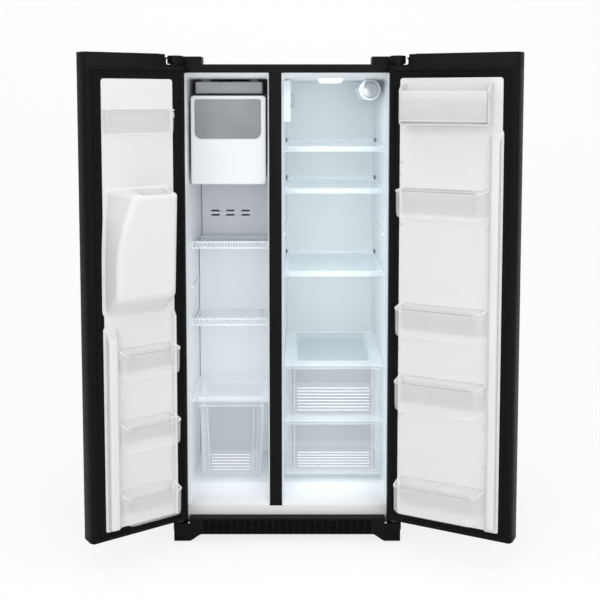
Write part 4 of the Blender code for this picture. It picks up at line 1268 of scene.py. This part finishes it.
def control_marks(bm):
    """Generic key outlines in one row, and a round mark above each."""
    middle_z = (panel_z[0] + panel_z[1]) / 2
    count = 6
    pitch = (panel_u[1] - panel_u[0] - 0.05) / (count - 1)
    levels = (face_v + 0.0004, face_v + 0.00012)
    for i in range(count):
        u = panel_u[0] + 0.025 + i * pitch
        key = rounded((u - 0.009, u + 0.009), (middle_z - 0.049, middle_z - 0.045), 0.0018, 3)
        add_prism(bm, key, freezer.facing, levels)
        dot = circle(u, middle_z - 0.026, 0.0042, 20)
        add_prism(bm, dot, freezer.facing, levels)


freezer.put(shaped(control_marks), "dispenser_control_marks", "grey_plastic")


def spouts(bm):
    """The ice chute's collar and the water nozzle, hanging from the recess roof."""
    roof = cup_z[1] - 0.0040
    for centre_u, centre_v, radius, drop in (
        (paddle_mid, paddle_v[0] - 0.022, 0.026, 0.020),
        (paddle_mid, paddle_v[0] - 0.022, 0.018, 0.030),
        (paddle_u[1] + 0.022, paddle_v[0] - 0.014, 0.006, 0.028),
    ):
        rings = [
            [freezer.upright(a, b, level) for a, b in circle(centre_u, centre_v, r, 32)]
            for level, r in (
                (roof + 0.002, radius),
                (roof - drop + 0.002, radius * 0.94),
                (roof - drop, radius * 0.86),
            )
        ]
        skin(bm, rings)


freezer.put(shaped(spouts), "dispenser_spouts", "black_plastic", angle=35.0)
tray_u, tray_z = widen(cup_u, -0.012), cup_z[0] + 0.0050


def drip_slots(bm):
    count = 13
    pitch = (tray_u[1] - tray_u[0] - 0.02) / count
    for i in range(count):
        u = tray_u[0] + 0.011 + i * pitch
        outline = rounded((u, u + pitch * 0.55), (face_v + 0.022, cup_depth - 0.026), 0.002, 2)
        add_prism(bm, outline, freezer.upright, (tray_z - 0.05, tray_z + 0.05))


tray = shaped(
    prisms(
        freezer.upright,
        (rounded(tray_u, (face_v + 0.010, cup_depth - 0.014), 0.010), (tray_z, tray_z + 0.005)),
    ),
    cut=(drip_slots,),
)
freezer.put(tray, "dispenser_drip_tray", "grey_plastic", soften=0.0006)
pin_v, pin_z = (paddle_v[0] + paddle_v[1]) / 2, paddle_z[1] - 0.0055
blade = []
for z, out, half_u in (
    (pin_z - 0.002, 0.0, 0.0262),
    (pin_z - 0.040, 0.0, 0.0255),
    (pin_z - 0.080, -0.0012, 0.0262),
    (pin_z - 0.120, -0.0016, 0.0268),
    (pin_z - 0.142, -0.0010, 0.0262),
    (pin_z - 0.149, -0.0004, 0.0225),
):
    outline = rounded(
        (paddle_mid - half_u, paddle_mid + half_u),
        (pin_v - 0.0018 + out, pin_v + 0.0018 + out),
        0.0016,
        3,
    )
    blade.append([freezer.upright(a, b, z) for a, b in outline])
paddle = shaped(
    skinned(blade),
    joined=(
        prisms(freezer.sideways, (circle(pin_v, pin_z, 0.0054, 24), widen(paddle_u, -0.0055))),
        prisms(freezer.sideways, (circle(pin_v, pin_z, 0.0028, 16), paddle_u)),
    ),
)
freezer.put(
    paddle,
    "dispenser_lever",
    "grey_plastic",
    "dispenser_paddle",
    node="dispenser_paddle",
    angle=40.0,
)
freezer.put(shaped(lugs), "dispenser_lever_lugs", "black_plastic", soften=0.0008)

# Fridge door liner, with the dairy housing and its hinged cover.
liner_u, liner_v, liner_z = fridge.spans("fridge_door_liner")
cover_u = fridge.spans("dairy_cover")[0]
dairy_u = widen(cover_u, 0.0005)
dairy_z = (liner_z[0] + 1.390, liner_z[0] + 1.532)
dyke_u = (liner_u[1] - 0.038, liner_u[1] - 0.0015)
dyke = raised(
    fridge,
    rectangle(dyke_u, (liner_z[0] + 0.002, liner_z[0] + 1.366)),
    rectangle((dyke_u[0] + 0.005, dyke_u[1] - 0.005), (liner_z[0] + 0.012, liner_z[0] + 1.330)),
    seat,
    0.064,
    0.008,
    0.006,
    0.008,
)
shelf_z = (dairy_z[0], dairy_z[0] + 0.0045)
shelf_rings = [
    [fridge.sideways(a, b, u) for a, b in rounded((liner_v[0] + 0.002, 0.116 - draw), shelf_z, 0.0015, 3)]
    for u, draw in (
        (dairy_u[0], 0.004),
        (dairy_u[0] + 0.004, 0.0),
        (dairy_u[1] - 0.004, 0.0),
        (dairy_u[1], 0.004),
    )
]
cheek = eased(
    [
        (liner_v[0] + 0.001, dairy_z[0] + 0.001),
        (0.115, dairy_z[0] + 0.001),
        (0.122, dairy_z[0] + 0.012),
        (0.122, dairy_z[1] - 0.025),
        (0.108, dairy_z[1] - 0.014),
        (liner_v[0] + 0.001, dairy_z[1]),
    ],
    [0.001, 0.004, 0.006, 0.012, 0.02, 0.001],
    4,
)
cheeks = prisms(
    fridge.sideways, (cheek, (dairy_u[0], dairy_u[0] + 0.004)), (cheek, (dairy_u[1] - 0.004, dairy_u[1]))
)
mesh = shaped(liner_plate(fridge, liner_u, liner_v, liner_z), joined=(dyke, skinned(shelf_rings), cheeks))
fridge.put(mesh, "fridge_door_inner_liner", "warm_white_liner", node="fridge_door_liner", angle=38.0)


def dimples(bm):
    """Small bin supports down the hinge side and the free side of the liner."""
    for z in (1.40, 1.355, 1.310, 1.185, 0.90, 0.74, 0.50, 0.36):
        for u in (liner_u[0] + 0.009, dyke_u[0] - 0.008):
            rings = [
                [fridge.facing(a, b, v) for a, b in circle(u, liner_z[0] + z - 0.138, r, 24)]
                for v, r in (
                    (seat, 0.0075),
                    (seat + 0.004, 0.0070),
                    (seat + 0.0065, 0.0050),
                    (seat + 0.0072, 0.0025),
                )
            ]
            skin(bm, rings)


fridge.put(shaped(dimples), "fridge_door_bin_supports", "warm_white_liner", angle=45.0)

clips = []
for letter in "abcd":
    u = fridge.spans(f"fridge_bin_{letter}")[0]
    clips += door_bin(
        fridge,
        f"fridge_bin_{letter}",
        u,
        (u[0] + 0.004, u[1] - 0.022),
        chamfer=0.012 if letter == "d" else 0.002,
        rise=0.012,
    )
fridge.put(shaped(fridge.blocks(*clips)), "fridge_bin_clips", "bin_edge", soften=0.0015)

# The dairy cover: a bowed front, a rolled lower lip and closed ends.
pin_v, pin_z = 0.113, dairy_z[1] - 0.030
cover_profile = [
    (0.0, 0.0),
    (0.009, 0.0035),
    (0.0165, -0.003),
    (0.0205, -0.020),
    (0.0212, -0.045),
    (0.0208, -0.075),
    (0.0180, -0.094),
    (0.0125, -0.1052),
]
profile = [(pin_v + a, pin_z + b) for a, b in cover_profile]
curve = eased(profile, [0.001, 0.006, 0.012, 0.02, 0.02, 0.012, 0.010, 0.001], 4)[5:-5]
wall = 0.0026
inner_curve = [(a - wall, b) for a, b in curve]
sheet = curve + inner_curve[::-1]
ends = curve + [(pin_v + 0.004, curve[-1][1]), (pin_v - 0.002, pin_z - 0.006)]
cover_u_in = (dairy_u[0] + 0.0045, dairy_u[1] - 0.0045)
cover = shaped(
    prisms(fridge.sideways, (sheet, cover_u_in)),
    joined=(
        prisms(
            fridge.sideways,
            (ends, (cover_u_in[0], cover_u_in[0] + 0.0024)),
            (ends, (cover_u_in[1] - 0.0024, cover_u_in[1])),
            (circle(pin_v, pin_z, 0.0028, 16), widen(dairy_u, -0.0005)),
        ),
    ),
)
fridge.put(cover, "dairy_door", "dairy_plastic", "dairy_cover", node="dairy_cover", angle=40.0)
lip = eased(
    [
        (curve[-1][0] - 0.006, curve[-1][1] - 0.0010),
        (curve[-1][0] + 0.0030, curve[-1][1] - 0.0010),
        (curve[-1][0] + 0.0030, curve[-1][1] + 0.0045),
        (curve[-1][0] - 0.006, curve[-1][1] + 0.0025),
    ],
    0.0016,
    3,
)
fridge.put(
    shaped(prisms(fridge.sideways, (lip, cover_u_in))),
    "dairy_door_lip",
    "clear_edge",
    "dairy_cover",
    angle=40.0,
)


# ---------------------------------------------------------------- inside the freezer
def wire_shelf(node, name):
    """Bars from front to back that turn down behind a two-bar front rail."""
    x, y, z = spans(node)
    thick, thin = 0.0026, 0.0016
    deck, top = z[0] + 0.0040, z[1] - thick
    low = z[0] + thick

    def fill(bm):
        for level in (top, low):
            add_rod(bm, (x[0], y[0] + thick, level), (x[1], y[0] + thick, level), thick, 14)
        add_rod(bm, (x[0], y[1] - thick, deck), (x[1], y[1] - thick, deck), thick, 14)
        add_rod(bm, (x[0], sum(y) / 2, deck - thin), (x[1], sum(y) / 2, deck - thin), thick, 14)
        for side in (x[0] + thick, x[1] - thick):
            add_rod(bm, (side, y[0] + thick, deck), (side, y[1] - thick, deck), thick, 14)
            add_rod(bm, (side, y[0] + thick, low), (side, y[0] + thick, top), thick, 14)
        count = 26
        pitch = (x[1] - x[0] - 0.016) / count
        for i in range(count + 1):
            bar = x[0] + 0.008 + i * pitch
            add_rod(bm, (bar, y[0] + thick * 2, deck + thin), (bar, y[1] - thick, deck + thin), thin, 8)
            add_rod(bm, (bar, y[0] + thick * 2, low), (bar, y[0] + thick * 2, top), thin, 8)

    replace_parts(link(shaped(fill), name, "white_wire", "case", angle=40.0), node)


wire_shelf("freezer_shelf_1", "upper_wire_shelf")
wire_shelf("freezer_shelf_2", "lower_wire_shelf")


def frame_rings(x, y, z, edge, radius, place):
    """Rings of a rounded slab between two levels, softened at both."""
    return slices(
        place,
        x,
        y,
        radius,
        (z[0], edge),
        (z[0] + edge * 0.4, edge * 0.3),
        (z[0] + edge, 0.0),
        (z[1] - edge, 0.0),
        (z[1] - edge * 0.4, edge * 0.3),
        (z[1], edge),
    )


# Basket cover: a clear tray.
x, y, z = lid_x, lid_y, lid_z
tray = shaped(
    skinned(frame_rings(x, y, z, 0.002, 0.006, along_z)),
    cut=(
        skinned(
            frame_rings(
                widen(x, -0.020),
                (y[0] + 0.013, y[1] - 0.015),
                (z[0] + 0.004, z[1] + 0.02),
                0.001,
                0.008,
                along_z,
            )
        ),
        skinned(
            frame_rings(
                widen(x, -0.026),
                (y[0] + 0.003, y[1] - 0.008),
                (z[0] - 0.02, z[0] + 0.0015),
                0.0005,
                0.004,
                along_z,
            )
        ),
    ),
)
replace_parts(link(tray, "basket_cover_tray", "clear_edge", "case", angle=38.0), "basket_cover")

# Ice bin: softened white front with a window frame, and its bucket.
x, y, z = ice_x, ice_y, ice_z
win_x, win_y, win_z = spans("ice_bin_window")
window = [
    (win_x[0], win_z[1]),
    (win_x[1], win_z[1]),
    (win_x[1], win_z[0] + 0.014),
    (win_x[1] - 0.013, win_z[0]),
    (win_x[0] + 0.013, win_z[0]),
    (win_x[0], win_z[0] + 0.014),
]
window = window[::-1]
face_rings = [
    [along_y(a, b, level) for a, b in rounded(widen(x, -draw), widen(z, -draw), 0.012 - draw * 0.5)]
    for level, draw in (
        (y[0], 0.0060),
        (y[0] + 0.0010, 0.0030),
        (y[0] + 0.0030, 0.0008),
        (y[0] + 0.0060, 0.0),
        (y[0] + 0.0150, 0.0),
        (y[0] + 0.0160, 0.0010),
    )
]
bucket_rings = (
    [
        [
            along_z(a, b, level)
            for a, b in rounded(widen(x, -0.006 - draw), (y[0] + 0.012, y[1] - draw), 0.012)
        ]
        for level, draw in (
            (z[0] + 0.002, 0.006),
            (z[0] + 0.005, 0.0015),
            (z[0] + 0.012, 0.0),
            (z[1] - 0.012, 0.0),
        )
    ],
    [
        [
            along_z(a, b, level)
            for a, b in rounded(widen(x, -0.009 - draw), (y[0] + 0.0155, y[1] - 0.003 - draw), 0.010)
        ]
        for level, draw in (
            (z[0] + 0.005, 0.006),
            (z[0] + 0.009, 0.0015),
            (z[0] + 0.015, 0.0),
            (z[1] - 0.012, 0.0),
        )
    ],
)


def bucket(bm):
    vessel(bm, *bucket_rings)


frame_step = prisms(along_y, (eased(offset(window, -0.0050), 0.010, 4), (y[0] - 0.05, y[0] + 0.0046)))
through = prisms(along_y, (eased(offset(window, 0.0010), 0.008, 4), (y[0] - 0.05, y[0] + 0.03)))
ice = shaped(skinned(face_rings), joined=(bucket,), cut=(frame_step, through))
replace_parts(link(ice, "ice_bin_shell", "cool_white_liner", "ice_bin", angle=38.0), "ice_bin")
pane_rings = [
    [along_y(a, b, level) for a, b in eased(offset(window, inward), 0.009, 4)]
    for level, inward in (
        (win_y[0], 0.0010),
        (win_y[0] + 0.0008, -0.0020),
        (win_y[1] - 0.0006, -0.0020),
    )
]
pane = shaped(skinned(pane_rings))
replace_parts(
    link(pane, "ice_bin_smoked_pane", "smoky_plastic", BODY_OF["ice_bin_window"], angle=30.0),
    "ice_bin_window",
)


# ---------------------------------------------------------------- drawers
def drawer(node, name, ridge_z, flare=0.0, lip=0.007):
    """A clear tub with a rolled lip, corner posts, and ridges across the front between two heights."""
    x, y, z = spans(node)
    wall = 0.0028
    body_x, body_y = widen(x, -lip), (y[0] + 0.004, y[1] - lip)

    def ring(level, draw, radius):
        narrow = flare * (z[1] - level) / (z[1] - z[0])
        sides, ends = widen(body_x, -draw - narrow), (
            body_y[0] + draw + narrow,
            body_y[1] - draw - narrow,
        )
        return [along_z(a, b, level) for a, b in rounded(sides, ends, radius)]

    outer = [ring(z[0], 0.006, 0.010), ring(z[0] + 0.002, 0.002, 0.012), ring(z[0] + 0.006, 0.0, 0.014)]
    inner = [
        ring(z[0] + wall, 0.008, 0.009),
        ring(z[0] + wall + 0.002, wall + 0.002, 0.010),
        ring(z[0] + 0.009, wall, 0.011),
    ]
    top = ring(z[1] - 0.010, 0.0, 0.014), ring(z[1] - 0.008, -lip, 0.016), ring(z[1] - 0.001, -lip, 0.016)
    rim = ring(
        z[1],
        0.0005 - lip,
        0.0155,
    ), ring(z[1], wall - 0.001, 0.012), ring(z[1] - 0.0015, wall, 0.011)
    mesh = shaped(skinned([*outer, *top, *rim, *inner[::-1]]))
    body = BODY_OF[node]
    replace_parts(link(mesh, name, "clear_plastic", body, angle=38.0), node)

    def ridges(bm):
        front = body_y[0]
        count = max(2, round((ridge_z[1] - ridge_z[0]) / 0.0115))
        for i in range(count):
            level = ridge_z[0] + (ridge_z[1] - ridge_z[0]) * (i + 0.5) / count
            inset = flare * (z[1] - level) / (z[1] - z[0])
            reach = (body_x[0] + 0.040 + inset, body_x[1] - 0.040 - inset)
            add_rod(
                bm,
                (reach[0], front + inset + 0.0014, level),
                (reach[1], front + inset + 0.0014, level),
                0.0019,
                10,
            )

    # The ridges use a whiter, denser copy of the tub's plastic: a painted highlight on the moulded ridges.
    link(shaped(ridges), f"{name}_ridges", "clear_painted_highlight", body, angle=60.0)

    def posts(bm):
        for side, way in ((body_x[0], 1), (body_x[1], -1)):
            for step in (0.014, 0.030):
                foot, head = z[0] + 0.010, z[1] - 0.012
                ease = flare * (z[1] - foot) / (z[1] - z[0])
                low = side + way * (step + ease)
                add_rod(
                    bm,
                    (low, body_y[0] + 0.0016 + ease, foot),
                    (side + way * step, body_y[0] + 0.0016, head),
                    0.0015,
                    8,
                )
        add_rod(
            bm,
            (x[0] + 0.004, y[0] + 0.003, z[1] - 0.004),
            (x[1] - 0.004, y[0] + 0.003, z[1] - 0.004),
            0.0028,
            12,
        )

    link(shaped(posts), f"{name}_posts", "clear_edge", body, angle=60.0)


upper_z, lower_z = spans("upper_crisper")[2], spans("lower_crisper")[2]
drawer("upper_crisper", "upper_crisper_drawer", (upper_z[0] + 0.018, upper_z[0] + 0.115), lip=0.003)
drawer("lower_crisper", "lower_crisper_drawer", (lower_z[0] + 0.016, lower_z[0] + 0.080), lip=0.003)
basket_z = spans("freezer_basket")[2]
drawer(
    "freezer_basket", "freezer_wire_basket", (basket_z[0] + 0.014, basket_z[0] + 0.085), flare=0.007
)


def glass_shelf(number):
    """A clear frame round a glass pane, with a rail in front, an upstand behind and a hook at each back corner."""
    x, y, z = spans(f"fridge_shelf_{number}_frame")
    glass_x, glass_y, glass_z = spans(f"fridge_shelf_{number}_glass")
    high = z[1] - 0.010
    mesh = shaped(
        skinned(frame_rings(x, y, (high - 0.018, high), 0.0025, 0.008, along_z)),
        joined=(blocks((widen(x, -0.001), (y[1] - 0.010, y[1]), (high - 0.004, z[1]))),),
        cut=(
            skinned(
                frame_rings(
                    widen(glass_x, 0.0004),
                    widen(glass_y, 0.0004),
                    (glass_z[0] - 0.0003, high + 0.02),
                    0.0003,
                    0.006,
                    along_z,
                )
            ),
            skinned(
                frame_rings(
                    widen(glass_x, -0.008),
                    widen(glass_y, -0.008),
                    (high - 0.05, high + 0.02),
                    0.0003,
                    0.006,
                    along_z,
                )
            ),
        ),
    )
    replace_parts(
        link(mesh, f"glass_shelf_{number}_frame", "clear_frame", "case", 0.0008, 2),
        f"fridge_shelf_{number}_frame",
    )
    pane = shaped(skinned(frame_rings(glass_x, glass_y, glass_z, 0.0006, 0.005, along_z)))
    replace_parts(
        link(pane, f"glass_shelf_{number}_pane", "shelf_glass", "case"),
        f"fridge_shelf_{number}_glass",
    )
    hooks = [
        ((side, side + way * 0.006), (y[1] - 0.014, y[1] - 0.004), (high - 0.004, z[1] + 0.004))
        for side, way in ((x[0], 1), (x[1], -1))
    ]
    link(shaped(blocks(*hooks)), f"glass_shelf_{number}_hooks", "hook_steel", "case", 0.0006)


for number in (1, 2, 3):
    glass_shelf(number)

# A dark sheet behind the toe grille's louvres: painted shade for the dark space behind them.
shade_sheet = shaped(
    blocks(
        (
            widen(grille_x, -0.062),
            (plate_back + 0.0015, plate_back + 0.0035),
            (grille_z[0] + 0.0262, grille_z[1] - 0.0045),
        )
    )
)
link(shade_sheet, "toe_kick_painted_shade", "black_rubber", "case", 0.0004)

# Whatever still shows as CAD takes the finished material of its slot, but for the three named here.
FINISH = {
    "fridge_light_cover": "lamp_lens",
    "crisper_cover_frame": "clear_frame",
    "sill_trim": "sill_white",
}
clear("lamp_lens", (1.0, 1.0, 1.0), 0.3, 0.7, 0.9, 0.3, 0.9)
for part in frame["record"]["subparts"]:
    node = frame["nodes"][part["node"]]
    node.data.materials.clear()
    node.data.materials.append(MATERIALS[FINISH.get(part["node"], part["material_slot"])])


# ---------------------------------------------------------------- stage
STAGE_REACH = 6.0
STAGE_BACK = 3.2
STAGE_HEIGHT = 5.0
STAGE_CURVE = 1.0
CAMERA_WHITE_SHARE = 0.72
CAMERA_WHITE = 1.08
bm = bmesh.new()
stage_y = (front_y - STAGE_REACH, front_y + STAGE_BACK)
profile = [(stage_y[0], 0.0), (stage_y[1] - STAGE_CURVE, 0.0)]
profile += [
    (stage_y[1] - STAGE_CURVE + STAGE_CURVE * sin(turn), STAGE_CURVE - STAGE_CURVE * cos(turn))
    for turn in arc(0, 90, 12)[1:]
]
profile += [(stage_y[1], STAGE_HEIGHT)]
columns = [[bm.verts.new((mid_x + x, y, z)) for y, z in profile] for x in (-STAGE_REACH, STAGE_REACH)]
for i in range(len(profile) - 1):
    bm.faces.new((columns[0][i], columns[1][i], columns[1][i + 1], columns[0][i + 1]))
floor_material = surfaced("studio_floor", (0.93, 0.93, 0.93), 0.6, 0.01, 20.0, 0.0002, 0.05)
tree = floor_material.node_tree
bsdf = next(node for node in tree.nodes if node.type == "BSDF_PRINCIPLED")
output = next(node for node in tree.nodes if node.type == "OUTPUT_MATERIAL")
paths, white, blend, share = (
    tree.nodes.new(kind)
    for kind in ("ShaderNodeLightPath", "ShaderNodeEmission", "ShaderNodeMixShader", "ShaderNodeMath")
)
share.operation = "MULTIPLY"
share.inputs[1].default_value = CAMERA_WHITE_SHARE
tree.links.new(paths.outputs["Is Camera Ray"], share.inputs[0])
tree.links.new(share.outputs["Value"], blend.inputs["Fac"])
tree.links.new(bsdf.outputs["BSDF"], blend.inputs[1])
tree.links.new(white.outputs["Emission"], blend.inputs[2])
tree.links.new(blend.outputs["Shader"], output.inputs["Surface"])
white.inputs["Strength"].default_value = CAMERA_WHITE
floor = bpy.data.objects.new("studio_floor", to_mesh(bm))
floor.data.materials.append(floor_material)
floor.data.shade_smooth()
bpy.context.scene.collection.objects.link(floor)


def area_light(name, place, target, size, power, colour=(1.0, 1.0, 1.0)):
    data = bpy.data.lights.new(name, "AREA")
    data.shape = "RECTANGLE"
    data.size, data.size_y = size
    data.energy = power
    data.color = colour
    lamp = bpy.data.objects.new(name, data)
    lamp.location = place
    lamp.rotation_euler = (Vector(target) - Vector(place)).to_track_quat("-Z", "Y").to_euler()
    bpy.context.scene.collection.objects.link(lamp)
    return lamp


aim = (mid_x, front_y + 0.2, 0.95)
freezer_mid, fridge_mid = (
    sum(spans(node)[0]) / 2 for node in ("freezer_liner", "fridge_liner")
)
area_light("key", (mid_x - 1.6, front_y - 4.0, 3.0), aim, (3.0, 2.2), 34)
area_light("fill", (mid_x + 2.0, front_y - 3.8, 2.2), aim, (3.0, 2.2), 30)
area_light("front", (mid_x, front_y - 4.6, 1.2), aim, (3.4, 1.6), 16)
area_light("overhead", (mid_x, front_y - 0.4, 4.0), aim, (3.5, 3.5), 45)
glows = (
    (
        "freezer_glow",
        (freezer_mid, front_y + 0.035, 0.72),
        (freezer_mid, front_y + 1.0, 0.70),
        (0.24, 1.06),
        0.30,
    ),
    (
        "fridge_glow",
        (fridge_mid, front_y + 0.035, 0.93),
        (fridge_mid, front_y + 1.0, 0.90),
        (0.28, 1.45),
        1.0,
    ),
    (
        "fridge_lamp",
        (fridge_mid, front_y + 0.12, 1.65),
        (fridge_mid, front_y + 0.5, 1.35),
        (0.24, 0.06),
        0.11,
    ),
)
for name, mouth, towards, size, power in glows:
    glow = area_light(name, mouth, towards, size, power, (0.90, 0.96, 1.0))
    glow.visible_camera = False
    glow.visible_glossy = False

world = bpy.data.worlds.new("studio")
world.use_nodes = True
world.node_tree.nodes["Background"].inputs["Color"].default_value = (1.0, 1.0, 1.0, 1.0)
world.node_tree.nodes["Background"].inputs["Strength"].default_value = 0.55
bpy.context.scene.world = world
bpy.context.scene.view_settings.view_transform = "Standard"

camera_data = bpy.data.cameras.new("camera")
camera_data.lens = 52.47
camera_data.sensor_width = 36.0
camera_data.shift_x, camera_data.shift_y = -0.0018, -0.2335
EYE_HEIGHT = 1.6157
EYE_DISTANCE = 3.1225
LOOK_DOWN = 4
camera = bpy.data.objects.new("camera", camera_data)
camera.location = (mid_x + 0.0508, front_y - EYE_DISTANCE, EYE_HEIGHT)
camera.rotation_euler = (radians(90 - LOOK_DOWN), 0.0, 0.0)
bpy.context.scene.collection.objects.link(camera)
bpy.context.scene.camera = camera
